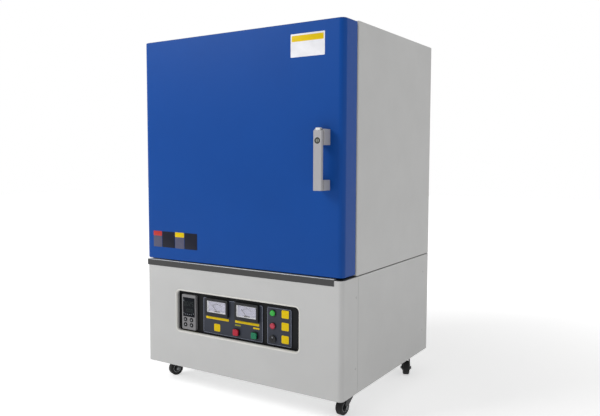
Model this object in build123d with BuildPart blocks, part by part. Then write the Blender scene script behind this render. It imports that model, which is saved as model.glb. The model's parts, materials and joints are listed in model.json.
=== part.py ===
from build123d import *
import os
from math import cos, radians, sin

os.makedirs("parts", exist_ok=True)

# Chamber furnace on casters. Millimetres, X to the right of someone facing the door, Y to the rear, Z up.
# The origin is on the floor, under the middle of the furnace.

# Overall sizes
side_space = 56
rear_space = 50.5
caster_height = 62
cabinet_height = 287.5
deck_thickness = 2.5
door_thickness = 65
door_gap_below = 4
door_gap_above = 2.5
seal_gap = 8
handle_reach = 38
gland_reach = 26

# Sheet metal
sheet = 2
corner_radius = 12
front_edge_radius = 4
panel_return = 83
panel_seam = 0.8
rear_return = 24
front_flange = 22
deck_inset = 4
frame_plate = 3
frame_leg = 25

# Door
door_edge_radius = 14
door_face_radius = 3
slab_lap = 110
plug_mouth_clearance = 4
plug_tip_clearance = 12
plug_reach = 34
seal_reach = 50
seal_width = 16
fit = 0.3
running_fit = 0.05

# Chamber and its lining
chamber_width = 200
chamber_height = 200
chamber_depth = 300
rail_height = 71.5
terminal_headroom = 39
wall_board = 150
floor_board = 120
roof_board = 110
rear_board = 110
box_sheet = 1.5
hearth_thickness = 12

# Hinge
hinge_inset = 14
hinge_from_front = 30
hinge_plate = 2
hinge_plate_length = 70
pin_radius = 5
bush_wall = 3
bush_length = 24
bush_flange = 1.6
hinge_block = 30
hinge_leg = 50

# Handle and latch, heights counted from the door's lower edge
handle_inset = 47.5
handle_low = 204
handle_length = 137
handle_bar_width = 21.5
handle_bar_depth = 9
handle_block_width = 26
handle_lower_block = 24
handle_upper_block = 36.5
handle_upper_rise = 3.5
lock_radius = 7.4
lock_length = 22
lock_drop = 23
button_size = 11
button_rise = 3
button_travel = 4
latch_thickness = 4
latch_height = 4
latch_pivot_back = 30
latch_pin_radius = 2.5
latch_boss_radius = 6
latch_clear = 5.6
latch_drop = 5
latch_side = 1.5
latch_slot_width = 5.4
latch_slot_height = 14
beak_length = 7
beak_drop = 3
button_from_front = 7
button_gap = 0.4
button_nib = 3
button_edge_radius = 1.5
handle_edge_radius = 1.5
keyway_width = 1.6
keyway_length = 8
keyway_depth = 3

# Control window and the plates behind it, heights counted from the cabinet's lower edge
window_width = 392
window_height = 114
window_x = -4.5
window_middle = 156
window_radius = 13
window_depth = 14
tray_sheet = 1.5
tray_margin = 12
plate_thickness = 2
plate_radius = 4
meter_plate_x = -18.5
meter_plate_width = 193
switch_plate_x = 127
switch_plate_width = 72
plate_height = 96
plate_middle = 152.5
controller_x = -160.5
controller_width = 48
controller_height = 96
controller_middle = 153.6
controller_proud = 9
controller_body = 70
controller_body_width = 44
controller_body_height = 91
controller_radius = 3
controller_face_radius = 1
display_x = 0.5
display_middle = 167.5
display_width = 42
display_height = 53
display_recess = 1
key_group_x = -0.9
key_group_middle = 125.9
key_spacing_x = 21.3
key_spacing_z = 14.3
key_width = 10
key_height = 8
key_radius = 3
key_thickness = 3
key_proud = 1
key_pocket = 4
meter_middle_x = -17.75
meter_spacing = 96.5
meter_middle = 177.5
meter_width = 74
meter_height = 46
meter_proud = 7.5
dial_width = 62
dial_height = 30.5
dial_middle = 178.7
meter_radius = 2
meter_barrel_radius = 19
meter_barrel_length = 35
dial_well = 5
glass_inset = 0.4
glass_thickness = 1
needle_width = 1
needle_thickness = 0.5
needle_length = 24
needle_hub_radius = 1.5
needle_clearance = 1.2
needle_pivot_rise = 3
needle_rest = 45
button_cap = 16.6
button_bezel = 18.8
button_proud = 8
bezel_proud = 4
bezel_wall = 1.1
cap_radius = 3.5
cap_edge_radius = 1.2
push_travel = 3
stem_radius = 3
stem_length = 8
stop_button_x = -3.7
start_button_x = 53.8
push_button_middle = 120.5
lamp_x = 108.6
lamp_radius = 7.5
lamp_proud = 5.5
lamp_ring_proud = 2.5
lamp_dome_radius = 3
switch_radius = 9.5
switch_proud = 4
rotor_radius = 6
rotor_length = 10
green_lamp_middle = 186
red_lamp_middle = 153.4
key_switch_middle = 120.2
barrel_radius = 7
barrel_length = 30

# Casters
caster_inset = 37.5
front_caster_back = 102
rear_caster_back = 484
wheel_radius = 20
wheel_width = 17
caster_trail = 20
caster_plate = 2.5
caster_plate_size = 44
race_height = 6
race_radius = 16
fork_sheet = 2.5
kingpin_radius = 4
axle_radius = 3
wheel_side_gap = 0.8
kingpin_nut = 4
fork_drop = 8
fork_end_radius = 7
tread_radius = 2
hub_radius = 7
hub_ring_radius = 12
hub_recess = 2

# Edge strip on the deck's front
strip_left_inset = 3.5
strip_right_inset = 22.5
strip_drop = 16
strip_flange = 12
strip_sheet = 1

# Openings in the rear panels
fan_inset = 157.5
fan_above_base = 150
fan_size = 120
fan_opening_radius = 56
fan_depth = 25
fan_corner_radius = 6
fan_hub_radius = 20
fan_struts = 4
fan_strut = 3
fan_blades = 7
blade_length = 33
blade_chord = 16
blade_thickness = 1.5
blade_pitch = 35
guard_rings = 4
guard_pitch = 14
guard_wire = 1.6
gland_inset = 92.5
gland_above_base = 60
gland_radius = 11
gland_nut = 5
cord_radius = 6
air_slots_x = 90
air_slot_length = 60
air_slot_height = 5
air_slot_bar = 14
air_slot_pitch = 13
air_slot_rows = 6
vent_spread = 300
vent_from_edge = 70
vent_rows = 4
probe_opening_radius = 18
top_edge_radius = 1.5

# Power parts
transformer_x = 130
core_width = 150
core_depth = 60
core_height = 125
core_leg = 25
coil_depth = 110
regulator_x = -80
sink_width = 120
sink_depth = 150
sink_base = 12
sink_height = 60
sink_fins = 13
sink_pitch = 9

# Mouth, heating elements, thermocouple and rails
throat_wall = 28
throat_radius = 6
strike_opening_width = 12
strike_opening_height = 16
element_from_wall = 16
element_gap = 48
element_end_gap = 18
elements_a_side = 3
element_radius = 3
element_above_hearth = 14
terminal_radius = 5
terminal_clearance = 1.5
terminal_rise = 40
holder_width = 26
holder_gap = 18
holder_height = 14
holder_lap = 4
probe_radius = 5
probe_rise = 60
probe_in_chamber = 30
probe_head_width = 34
probe_head_height = 30
probe_head_depth = 24
probe_head_radius = 5
hearth_margin = 8
hearth_radius = 4
rail_inset = 70
rail_flange = 40
rail_sheet = 3

# Places worked out from the sizes
half_width = chamber_width / 2 + wall_board + box_sheet + side_space
width = 2 * half_width
casing_height = (
    sheet + rail_height + box_sheet + floor_board + chamber_height + roof_board + box_sheet
    + holder_height + terminal_rise + terminal_headroom + sheet)
door_height = casing_height - door_gap_below - door_gap_above
depth = (
    door_thickness + seal_gap + 2 * sheet + chamber_depth + rear_board + box_sheet
    + probe_head_depth + rear_space + sheet)
front_y = handle_reach - (handle_reach + depth + gland_reach) / 2
rear_y = front_y + depth
cabinet_z = caster_height
cabinet_top_z = cabinet_z + cabinet_height
casing_z = cabinet_top_z + deck_thickness
door_z = casing_z + door_gap_below
door_top_z = door_z + door_height
casing_top_z = door_top_z + door_gap_above
door_back_y = front_y + door_thickness
casing_y = door_back_y + seal_gap
chamber_z = casing_z + sheet + rail_height + box_sheet + floor_board
chamber_middle_z = chamber_z + chamber_height / 2
handle_x = half_width - handle_inset
caster_x = half_width - caster_inset
fan_x = fan_inset - half_width
gland_x = half_width - gland_inset
slab_width = chamber_width + 2 * slab_lap
seal_size = chamber_width + 2 * seal_reach
rail_x = chamber_width / 2 + wall_board - rail_inset
handle_z = door_z + handle_low
handle_block_top_z = handle_z + handle_length + handle_upper_rise
lock_z = handle_z + handle_length - lock_drop
latch_z = lock_z + lock_radius + latch_clear + latch_height / 2
strike_low_z = latch_z - 2 * beak_drop - fit
fan_z = cabinet_z + fan_above_base
gland_z = cabinet_z + gland_above_base


def facing(back):
    """Plane parallel to the door's face, this far behind it, that looks to the front."""
    return Plane.XZ.offset(-(front_y + back))


# Cabinet frame: rounded bottom plate, four corner angles and a rim
frame_width = width - 2 * sheet
frame_depth = depth - 2 * sheet
frame_radius = corner_radius - sheet
frame_top = 3
middle_y = (front_y + rear_y) / 2

with BuildPart() as cabinet_frame:
    with BuildSketch(Plane.XY.offset(cabinet_z)):
        with Locations((0, middle_y)):
            RectangleRounded(frame_width, frame_depth, frame_radius)
    extrude(amount=frame_plate)
    with BuildSketch(Plane.XY.offset(cabinet_z)):
        with Locations((0, middle_y)):
            RectangleRounded(frame_width, frame_depth, frame_radius)
            RectangleRounded(
                frame_width - 2 * frame_plate, frame_depth - 2 * frame_plate, frame_radius - frame_plate,
                mode=Mode.SUBTRACT)
            Rectangle(frame_width - 2 * frame_leg, frame_depth, mode=Mode.SUBTRACT)
            Rectangle(frame_width, frame_depth - 2 * frame_leg, mode=Mode.SUBTRACT)
    extrude(amount=cabinet_height)
    with BuildSketch(Plane.XY.offset(cabinet_top_z - frame_top)):
        with Locations((0, middle_y)):
            RectangleRounded(frame_width, frame_depth, frame_radius)
            Rectangle(frame_width - 2 * frame_leg, frame_depth - 2 * frame_leg, mode=Mode.SUBTRACT)
    extrude(amount=frame_top)
cabinet_frame.part.label = "cabinet_frame"
export_step(cabinet_frame.part, "parts/cabinet_frame.step")

# Cabinet front: a sheet wrapped round both front edges, with the control window folded inwards
with BuildPart() as cabinet_front_panel:
    with BuildSketch(Plane.XY.offset(cabinet_z)):
        with BuildLine():
            FilletPolyline(
                (-half_width, front_y + panel_return),
                (-half_width, front_y),
                (half_width, front_y),
                (half_width, front_y + panel_return),
                radius=corner_radius)
            offset(amount=sheet, side=Side.LEFT)
        make_face()
    extrude(amount=cabinet_height)
    with BuildSketch(facing(0)):
        with Locations((window_x, cabinet_z + window_middle)):
            RectangleRounded(window_width + 2 * sheet, window_height + 2 * sheet, window_radius + sheet)
    extrude(amount=-window_depth)
    with BuildSketch(facing(0)):
        with Locations((window_x, cabinet_z + window_middle)):
            RectangleRounded(window_width, window_height, window_radius)
    extrude(amount=-window_depth, mode=Mode.SUBTRACT)
cabinet_front_panel.part.label = "cabinet_front_panel"
export_step(cabinet_front_panel.part, "parts/cabinet_front_panel.step")


def side_sheet(side, low, height, front, front_turn, front_radius):
    """Side panel whose two ends are folded inwards, for side 1 or its mirror image for side -1."""
    with BuildPart() as panel:
        with BuildSketch(Plane.XY.offset(low)):
            with BuildLine():
                if front_turn > 0:
                    FilletPolyline(
                        (side * (half_width - front_turn), front),
                        (side * half_width, front),
                        (side * half_width, rear_y),
                        (side * (half_width - rear_return), rear_y),
                        radius=(front_radius, corner_radius))
                else:
                    FilletPolyline(
                        (side * half_width, front),
                        (side * half_width, rear_y),
                        (side * (half_width - rear_return), rear_y),
                        radius=corner_radius)
                offset(amount=sheet, side=Side.LEFT if side > 0 else Side.RIGHT)
            make_face()
        extrude(amount=height)
    return panel


with BuildPart() as cabinet_side_panels:
    for side in (-1, 1):
        add(side_sheet(side, cabinet_z, cabinet_height, front_y + panel_return + panel_seam, 0, 0).part)
cabinet_side_panels.part.label = "cabinet_side_panels"
export_step(cabinet_side_panels.part, "parts/cabinet_side_panels.step")

# Cabinet rear panel with the fan opening, air slots and the hole for the supply lead's gland
rear_width = width - 2 * rear_return - 2 * panel_seam

with BuildPart() as cabinet_rear_panel:
    with BuildSketch(Plane.XZ.offset(-rear_y)):
        with Locations((0, cabinet_z + cabinet_height / 2)):
            Rectangle(rear_width, cabinet_height)
        with Locations((fan_x, fan_z)):
            Circle(fan_opening_radius, mode=Mode.SUBTRACT)
        with Locations((gland_x, gland_z)):
            Circle(gland_radius + running_fit, mode=Mode.SUBTRACT)
        with Locations((air_slots_x, fan_z)):
            with GridLocations(air_slot_length + air_slot_bar, air_slot_pitch, 2, air_slot_rows):
                SlotOverall(air_slot_length, air_slot_height, mode=Mode.SUBTRACT)
    extrude(amount=sheet)
cabinet_rear_panel.part.label = "cabinet_rear_panel"
export_step(cabinet_rear_panel.part, "parts/cabinet_rear_panel.step")

# Deck between cabinet and casing, set in at the sides and the rear so that it shows as a dark seam
with BuildPart() as cabinet_deck:
    with BuildSketch(Plane.XY.offset(cabinet_top_z)):
        with Locations((0, middle_y - deck_inset / 2)):
            deck = Rectangle(width - 2 * deck_inset, depth - deck_inset)
        fillet(deck.vertices(), corner_radius - deck_inset)
    extrude(amount=deck_thickness)
    fillet(cabinet_deck.edges().filter_by(Axis.X).group_by(Axis.Y)[0].sort_by(Axis.Z)[-1], strip_sheet)
cabinet_deck.part.label = "cabinet_deck"
export_step(cabinet_deck.part, "parts/cabinet_deck.step")

# Stainless edge strip: an angle over the front edge of the deck
with BuildPart() as edge_strip:
    with BuildSketch(Plane.YZ.offset(strip_left_inset - half_width)):
        with BuildLine():
            FilletPolyline(
                (front_y, casing_z - strip_drop),
                (front_y, casing_z),
                (front_y + strip_flange, casing_z),
                radius=strip_sheet)
            offset(amount=strip_sheet, side=Side.LEFT)
        make_face()
    extrude(amount=width - strip_left_inset - strip_right_inset)
edge_strip.part.label = "edge_strip"
export_step(edge_strip.part, "parts/edge_strip.step")

# Casing: two folded sides, top and rear cover
with BuildPart() as casing_side_panels:
    for side in (-1, 1):
        add(side_sheet(side, casing_z, casing_height - sheet, casing_y, front_flange, front_edge_radius).part)
casing_side_panels.part.label = "casing_side_panels"
export_step(casing_side_panels.part, "parts/casing_side_panels.step")

casing_depth = rear_y - casing_y
casing_middle_y = (casing_y + rear_y) / 2



def casing_plan(inset):
    """Outline of the casing from above, this far inside its outer skin."""
    with BuildSketch() as plan:
        with Locations((0, casing_middle_y)):
            Rectangle(width - 2 * inset, casing_depth - 2 * inset)
        fillet(plan.vertices().group_by(Axis.Y)[0], front_edge_radius - inset)
        fillet(plan.vertices().group_by(Axis.Y)[-1], corner_radius - inset)
    return plan.sketch


with BuildPart() as casing_top:
    with BuildSketch(Plane.XY.offset(casing_top_z - sheet)):
        add(casing_plan(0))
    extrude(amount=sheet)
    fillet(casing_top.edges().group_by(Axis.Z)[-1], top_edge_radius)
casing_top.part.label = "casing_top"
export_step(casing_top.part, "parts/casing_top.step")

with BuildPart() as casing_rear_cover:
    with BuildSketch(Plane.XZ.offset(-rear_y)):
        with Locations((0, (casing_z + casing_top_z - sheet) / 2)):
            Rectangle(rear_width, casing_height - sheet)
            with GridLocations(vent_spread, casing_height - 2 * vent_from_edge, 2, 2):
                with GridLocations(0, air_slot_pitch, 1, vent_rows):
                    SlotOverall(air_slot_length, air_slot_height, mode=Mode.SUBTRACT)
        with Locations((0, chamber_middle_z)):
            Circle(probe_opening_radius, mode=Mode.SUBTRACT)
    extrude(amount=sheet)
casing_rear_cover.part.label = "casing_rear_cover"
export_step(casing_rear_cover.part, "parts/casing_rear_cover.step")

# Front frame behind the casing's flanges, with the furnace mouth and the latch opening
mouth_width = chamber_width + 2 * throat_wall
mouth_height = chamber_height + 2 * throat_wall
frame_face_y = casing_y + sheet

with BuildPart() as front_frame:
    with BuildSketch(Plane.XZ.offset(-frame_face_y)):
        with Locations((0, (casing_z + casing_top_z) / 2)):
            Rectangle(width - 2 * front_edge_radius, casing_height - 2 * sheet)
        with Locations((0, chamber_middle_z)):
            RectangleRounded(mouth_width, mouth_height, throat_radius, mode=Mode.SUBTRACT)
        with Locations((handle_x, strike_low_z + strike_opening_height / 2)):
            Rectangle(strike_opening_width, strike_opening_height, mode=Mode.SUBTRACT)
    extrude(amount=-sheet)
front_frame.part.label = "front_frame"
export_step(front_frame.part, "parts/front_frame.step")

# Fibre boards round the chamber, butted against each other; the end pieces are the mouth ring and rear board
lining_y = frame_face_y + sheet
lining_width = chamber_width + 2 * wall_board
lining_depth = chamber_depth + rear_board
lining_low_z = chamber_z - floor_board
lining_top_z = chamber_z + chamber_height + roof_board
ceiling_z = chamber_z + chamber_height
element_x = chamber_width / 2 - element_from_wall
plug_inside = plug_reach - 2 * sheet
element_middle_y = lining_y + (plug_inside + chamber_depth) / 2
element_span = chamber_depth - plug_inside - 2 * (element_end_gap + element_radius)
element_pitch = (element_span + element_gap) / elements_a_side
element_leg_spacing = element_pitch - element_gap
holder_length = element_pitch - holder_gap

with BuildPart() as fibre_floor_and_roof:
    with BuildSketch(Plane.XY.offset(lining_low_z)):
        with Locations((0, lining_y + lining_depth / 2)):
            Rectangle(lining_width, lining_depth)
    extrude(amount=floor_board)
    with BuildSketch(Plane.XY.offset(ceiling_z)):
        with Locations((0, lining_y + lining_depth / 2)):
            Rectangle(lining_width, lining_depth)
        with Locations((0, element_middle_y)):
            with GridLocations(2 * element_x, element_pitch, 2, elements_a_side):
                with GridLocations(0, element_leg_spacing, 1, 2):
                    Circle(terminal_radius + terminal_clearance, mode=Mode.SUBTRACT)
    extrude(amount=roof_board)
fibre_floor_and_roof.part.label = "fibre_floor_and_roof"
export_step(fibre_floor_and_roof.part, "parts/fibre_floor_and_roof.step")

with BuildPart() as fibre_walls:
    with BuildSketch(Plane.XY.offset(chamber_z)):
        with Locations((0, lining_y + lining_depth / 2)):
            with GridLocations(chamber_width + wall_board, 0, 2, 1):
                Rectangle(wall_board, lining_depth)
    extrude(amount=chamber_height)
fibre_walls.part.label = "fibre_walls"
export_step(fibre_walls.part, "parts/fibre_walls.step")

probe_z = chamber_middle_z + probe_rise

with BuildPart() as fibre_ends:
    with BuildSketch(Plane.XZ.offset(-casing_y)):
        with Locations((0, chamber_middle_z)):
            RectangleRounded(mouth_width - 2 * fit, mouth_height - 2 * fit, throat_radius)
            Rectangle(chamber_width, chamber_height, mode=Mode.SUBTRACT)
    extrude(amount=-2 * sheet)
    with BuildSketch(Plane.XZ.offset(-(lining_y + chamber_depth))):
        with Locations((0, chamber_middle_z)):
            Rectangle(chamber_width, chamber_height)
        with Locations((0, probe_z)):
            Circle(probe_radius + running_fit, mode=Mode.SUBTRACT)
    extrude(amount=-rear_board)
fibre_ends.part.label = "fibre_ends"
export_step(fibre_ends.part, "parts/fibre_ends.step")

with BuildPart() as hearth_plate:
    with BuildSketch(Plane.XY.offset(chamber_z)):
        with Locations((0, casing_y + plug_reach + hearth_margin)):
            hearth_outline = Rectangle(
                chamber_width - 2 * hearth_margin, chamber_depth - plug_inside - 2 * hearth_margin,
                align=(Align.CENTER, Align.MIN))
        fillet(hearth_outline.vertices(), hearth_radius)
    extrude(amount=hearth_thickness)
hearth_plate.part.label = "hearth_plate"
export_step(hearth_plate.part, "parts/hearth_plate.step")

# Inner steel box round the boards, open to the front, on two rails
box_width = lining_width + 2 * box_sheet
box_height = lining_top_z - lining_low_z + 2 * box_sheet
box_middle_z = (lining_low_z + lining_top_z) / 2
box_depth = lining_depth + box_sheet
box_rear_y = lining_y + box_depth

with BuildPart() as inner_box:
    with BuildSketch(Plane.XZ.offset(-box_rear_y)):
        with Locations((0, box_middle_z)):
            Rectangle(box_width, box_height)
    extrude(amount=box_depth)
    with BuildSketch(Plane.XZ.offset(-lining_y)):
        with Locations((0, box_middle_z)):
            Rectangle(lining_width, lining_top_z - lining_low_z)
    extrude(amount=-lining_depth, mode=Mode.SUBTRACT)
    with BuildSketch(Plane.XY.offset(lining_top_z)):
        with Locations((0, element_middle_y)):
            with GridLocations(2 * element_x, element_pitch, 2, elements_a_side):
                Rectangle(holder_width - 2 * holder_lap, holder_length - 2 * holder_lap)
    extrude(amount=box_sheet, mode=Mode.SUBTRACT)
    with BuildSketch(Plane.XZ.offset(-box_rear_y)):
        with Locations((0, probe_z)):
            Circle(probe_radius + running_fit)
    extrude(amount=box_sheet, mode=Mode.SUBTRACT)
inner_box.part.label = "inner_box"
export_step(inner_box.part, "parts/inner_box.step")

# Casing floor with the rails welded on it
with BuildPart() as casing_floor:
    with BuildSketch(Plane.XY.offset(casing_z)):
        add(casing_plan(sheet))
    extrude(amount=sheet)
    with BuildSketch(Plane.XZ.offset(-lining_y)):
        for side in (-1, 1):
            with BuildLine():
                Polyline(
                    (side * (rail_x + rail_flange), casing_z + sheet),
                    (side * rail_x, casing_z + sheet),
                    (side * rail_x, casing_z + sheet + rail_height),
                    (side * (rail_x + rail_flange), casing_z + sheet + rail_height))
                offset(amount=rail_sheet, side=Side.RIGHT if side > 0 else Side.LEFT)
            make_face()
    extrude(amount=-lining_depth)
casing_floor.part.label = "casing_floor"
export_step(casing_floor.part, "parts/casing_floor.step")

# Hairpin heating elements that hang through the roof board, on ceramic holders
holder_z = lining_top_z + box_sheet
element_bend_z = chamber_z + hearth_thickness + element_above_hearth + element_radius + element_leg_spacing / 2
terminal_low_z = ceiling_z + terminal_radius
terminal_top_z = holder_z + holder_height + terminal_rise

half_spacing = element_leg_spacing / 2

with BuildPart() as hairpin:
    with BuildLine(Plane.YZ) as bend:
        Line((-half_spacing, terminal_low_z), (-half_spacing, element_bend_z))
        ThreePointArc(
            (-half_spacing, element_bend_z), (0, element_bend_z - half_spacing), (half_spacing, element_bend_z))
        Line((half_spacing, element_bend_z), (half_spacing, terminal_low_z))
    with BuildSketch(Plane.XY.offset(terminal_low_z)):
        with Locations((0, -half_spacing)):
            Circle(element_radius)
    sweep(path=bend.wires()[0])
    with BuildSketch(Plane.XY.offset(terminal_low_z)):
        with GridLocations(0, element_leg_spacing, 1, 2):
            Circle(terminal_radius)
    extrude(amount=terminal_top_z - terminal_low_z)

with BuildPart() as heating_elements:
    with Locations((0, element_middle_y, 0)):
        with GridLocations(2 * element_x, element_pitch, 2, elements_a_side):
            add(hairpin.part)
heating_elements.part.label = "heating_elements"
export_step(heating_elements.part, "parts/heating_elements.step")

with BuildPart() as element_holders:
    with BuildSketch(Plane.XY.offset(holder_z)):
        with Locations((0, element_middle_y)):
            with GridLocations(2 * element_x, element_pitch, 2, elements_a_side):
                RectangleRounded(holder_width, holder_length, holder_lap)
                with GridLocations(0, element_leg_spacing, 1, 2):
                    Circle(terminal_radius + running_fit, mode=Mode.SUBTRACT)
    extrude(amount=holder_height)
element_holders.part.label = "element_holders"
export_step(element_holders.part, "parts/element_holders.step")

# Thermocouple: ceramic sheath through the rear board, with its head on the inner box
probe_tip_y = lining_y + chamber_depth - probe_in_chamber

with BuildPart() as thermocouple:
    with BuildSketch(Plane.XZ.offset(-box_rear_y)):
        with Locations((0, probe_z)):
            Circle(probe_radius)
    extrude(amount=box_rear_y - probe_tip_y)
    fillet(thermocouple.edges().group_by(Axis.Y)[0], probe_radius / 2)
    with BuildSketch(Plane.XZ.offset(-box_rear_y)):
        with Locations((0, probe_z)):
            RectangleRounded(probe_head_width, probe_head_height, probe_head_radius)
    extrude(amount=-probe_head_depth)
thermocouple.part.label = "thermocouple"
export_step(thermocouple.part, "parts/thermocouple.step")

# Hinge line on the left, and the latch line through the handle
hinge_x = -half_width + hinge_inset
hinge_y = front_y + hinge_from_front
latch_pivot_y = front_y + latch_pivot_back
bush_radius = pin_radius + running_fit + bush_wall

# Door shell, rounded along both upright edges and hollow to the rear
with BuildPart() as door_shell:
    with BuildSketch(facing(0)):
        with Locations((0, door_z + door_height / 2)):
            Rectangle(width, door_height)
    extrude(amount=-door_thickness)
    fillet(door_shell.edges().filter_by(Axis.Z).group_by(Axis.Y)[0], door_edge_radius)
    rims = door_shell.edges().group_by(Axis.Z)[0] + door_shell.edges().group_by(Axis.Z)[-1]
    fillet(rims.filter_by(lambda rim: rim.center().Y < door_back_y - sheet), door_face_radius)
    offset(amount=-sheet, openings=door_shell.faces().sort_by(Axis.Y)[-1])
    for low in (door_z + sheet, door_top_z - sheet - hinge_block):
        with BuildSketch(Plane.XY.offset(low)):
            with Locations((-half_width + sheet, front_y + door_edge_radius)):
                Rectangle(hinge_block, hinge_block, align=(Align.MIN, Align.MIN))
        extrude(amount=hinge_block)
    with BuildSketch(Plane.XY.offset(door_z)):
        with Locations((hinge_x, hinge_y)):
            Circle(bush_radius + running_fit)
    extrude(amount=door_height, mode=Mode.SUBTRACT)
    with BuildSketch(facing(0)):
        with Locations((handle_x, latch_z)):
            Rectangle(latch_slot_width, latch_slot_height)
    extrude(amount=-sheet, mode=Mode.SUBTRACT)
door_shell.part.label = "door_shell"
export_step(door_shell.part, "parts/door_shell.step")

# Inner cover of the door, with the plug's opening and the latch slot
neck_width = chamber_width - 2 * plug_mouth_clearance
neck_height = chamber_height - 2 * plug_mouth_clearance
tip_width = chamber_width - 2 * plug_tip_clearance
tip_height = chamber_height - 2 * plug_tip_clearance
cover_width = width - 2 * sheet
cover_height = door_height - 2 * sheet

with BuildPart() as door_cover:
    with BuildSketch(facing(door_thickness)):
        with Locations((0, door_z + door_height / 2)):
            RectangleRounded(cover_width, cover_height, door_face_radius - sheet)
        with Locations((0, chamber_middle_z)):
            Rectangle(neck_width + 2 * fit, neck_height + 2 * fit, mode=Mode.SUBTRACT)
        with Locations((handle_x, latch_z)):
            Rectangle(latch_slot_width, 2 * latch_slot_height, mode=Mode.SUBTRACT)
    extrude(amount=sheet)
door_cover.part.label = "door_cover"
export_step(door_cover.part, "parts/door_cover.step")

with BuildPart() as door_insulation:
    with BuildSketch(facing(door_thickness - sheet)):
        with Locations((0, chamber_middle_z)):
            Rectangle(slab_width, slab_width)
    extrude(amount=door_thickness - 2 * sheet)
    with BuildSketch(facing(door_thickness - sheet)):
        with Locations((0, chamber_middle_z)):
            Rectangle(neck_width, neck_height)
    extrude(amount=-(sheet + seal_gap))
    with BuildSketch(facing(door_thickness + seal_gap)):
        with Locations((0, chamber_middle_z)):
            Rectangle(neck_width, neck_height)
    with BuildSketch(facing(door_thickness + seal_gap + plug_reach)):
        with Locations((0, chamber_middle_z)):
            Rectangle(tip_width, tip_height)
    loft()
door_insulation.part.label = "door_insulation"
export_step(door_insulation.part, "parts/door_insulation.step")

# Rope seal on the inner cover, just short of the front frame
with BuildPart() as door_seal:
    with BuildSketch(facing(door_thickness)):
        with Locations((0, chamber_middle_z)):
            RectangleRounded(seal_size, seal_size, 2 * seal_width)
            RectangleRounded(
                seal_size - 2 * seal_width, seal_size - 2 * seal_width, seal_width, mode=Mode.SUBTRACT)
    extrude(amount=-(seal_gap + sheet - fit))
    fillet(door_seal.edges().group_by(Axis.Y)[-1], seal_width / 4)
door_seal.part.label = "door_seal"
export_step(door_seal.part, "parts/door_seal.step")

# Hinges: angle brackets with their pins on the casing, bushes in steel blocks in the door
leg_y = casing_y - hinge_plate
bracket_front_y = hinge_y - 2 * pin_radius - hinge_plate

pin_reach = bush_length - sheet

with BuildPart() as hinge_brackets:
    for plate_z, leg_z, pin_z, pin_length in (
            (casing_z, casing_z, casing_z, door_gap_below + pin_reach),
            (casing_top_z - hinge_plate, casing_top_z - hinge_leg,
             door_top_z - pin_reach, door_gap_above + pin_reach)):
        with BuildSketch(Plane.XY.offset(plate_z)):
            with Locations((-half_width + sheet, bracket_front_y)):
                plate_outline = Rectangle(
                    hinge_plate_length, casing_y - bracket_front_y, align=(Align.MIN, Align.MIN))
            fillet(plate_outline.vertices().group_by(Axis.Y)[0], pin_radius)
        extrude(amount=hinge_plate)
        with BuildSketch(Plane.XY.offset(leg_z)):
            with Locations((-half_width + sheet, leg_y)):
                Rectangle(hinge_plate_length, hinge_plate, align=(Align.MIN, Align.MIN))
        extrude(amount=hinge_leg)
        with BuildSketch(Plane.XY.offset(pin_z)):
            with Locations((hinge_x, hinge_y)):
                Circle(pin_radius)
        extrude(amount=pin_length)
hinge_brackets.part.label = "hinge_brackets"
export_step(hinge_brackets.part, "parts/hinge_brackets.step")

with BuildPart() as hinge_bushes:
    for low in (door_z, door_top_z - bush_length):
        with BuildSketch(Plane.XY.offset(low)):
            with Locations((hinge_x, hinge_y)):
                Circle(bush_radius)
                Circle(pin_radius + running_fit, mode=Mode.SUBTRACT)
        extrude(amount=bush_length)
    with BuildSketch(Plane.XY.offset(door_z - bush_flange)):
        with Locations((hinge_x, hinge_y)):
            Circle(bush_radius + bush_wall)
            Circle(pin_radius + running_fit, mode=Mode.SUBTRACT)
    extrude(amount=bush_flange)
hinge_bushes.part.label = "hinge_bushes"
export_step(hinge_bushes.part, "parts/hinge_bushes.step")

# Pull handle: bar on two blocks, with the lock's bore, the button's guide and the latch's cavity
bar_front_y = front_y - handle_reach
bar_back_y = bar_front_y + handle_bar_depth
button_y = bar_front_y + button_from_front
button_low_z = latch_z + latch_height / 2 + button_gap + button_nib
upper_block_z = handle_block_top_z - handle_upper_block

with BuildPart() as handle_body:
    with BuildSketch(Plane.XZ.offset(-bar_back_y)):
        with Locations((handle_x, handle_z)):
            Rectangle(handle_bar_width, handle_length, align=(Align.CENTER, Align.MIN))
    extrude(amount=handle_bar_depth)
    fillet(handle_body.edges().filter_by(Axis.Z), handle_edge_radius)
    with BuildSketch(facing(0)):
        with Locations((handle_x, handle_z)):
            Rectangle(handle_block_width, handle_lower_block, align=(Align.CENTER, Align.MIN))
        with Locations((handle_x, upper_block_z)):
            Rectangle(handle_block_width, handle_upper_block, align=(Align.CENTER, Align.MIN))
    extrude(amount=handle_reach - handle_bar_depth)
    with BuildSketch(Plane.XZ.offset(-bar_front_y)):
        with Locations((handle_x, lock_z)):
            Circle(lock_radius + running_fit)
    extrude(amount=-lock_length, mode=Mode.SUBTRACT)
    with BuildSketch(Plane.XY.offset(latch_z - latch_height / 2 - latch_drop)):
        with Locations((handle_x, front_y)):
            Rectangle(
                latch_thickness + 2 * latch_side, front_y - button_y + button_size / 2,
                align=(Align.CENTER, Align.MAX))
    extrude(amount=latch_drop + latch_height + button_gap, mode=Mode.SUBTRACT)
    with BuildSketch(Plane.XY.offset(button_low_z - button_travel - button_gap)):
        with Locations((handle_x, button_y)):
            Rectangle(button_size + 2 * fit, button_size + 2 * fit)
    extrude(until=Until.LAST, mode=Mode.SUBTRACT)
handle_body.part.label = "handle_body"
export_step(handle_body.part, "parts/handle_body.step")

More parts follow.
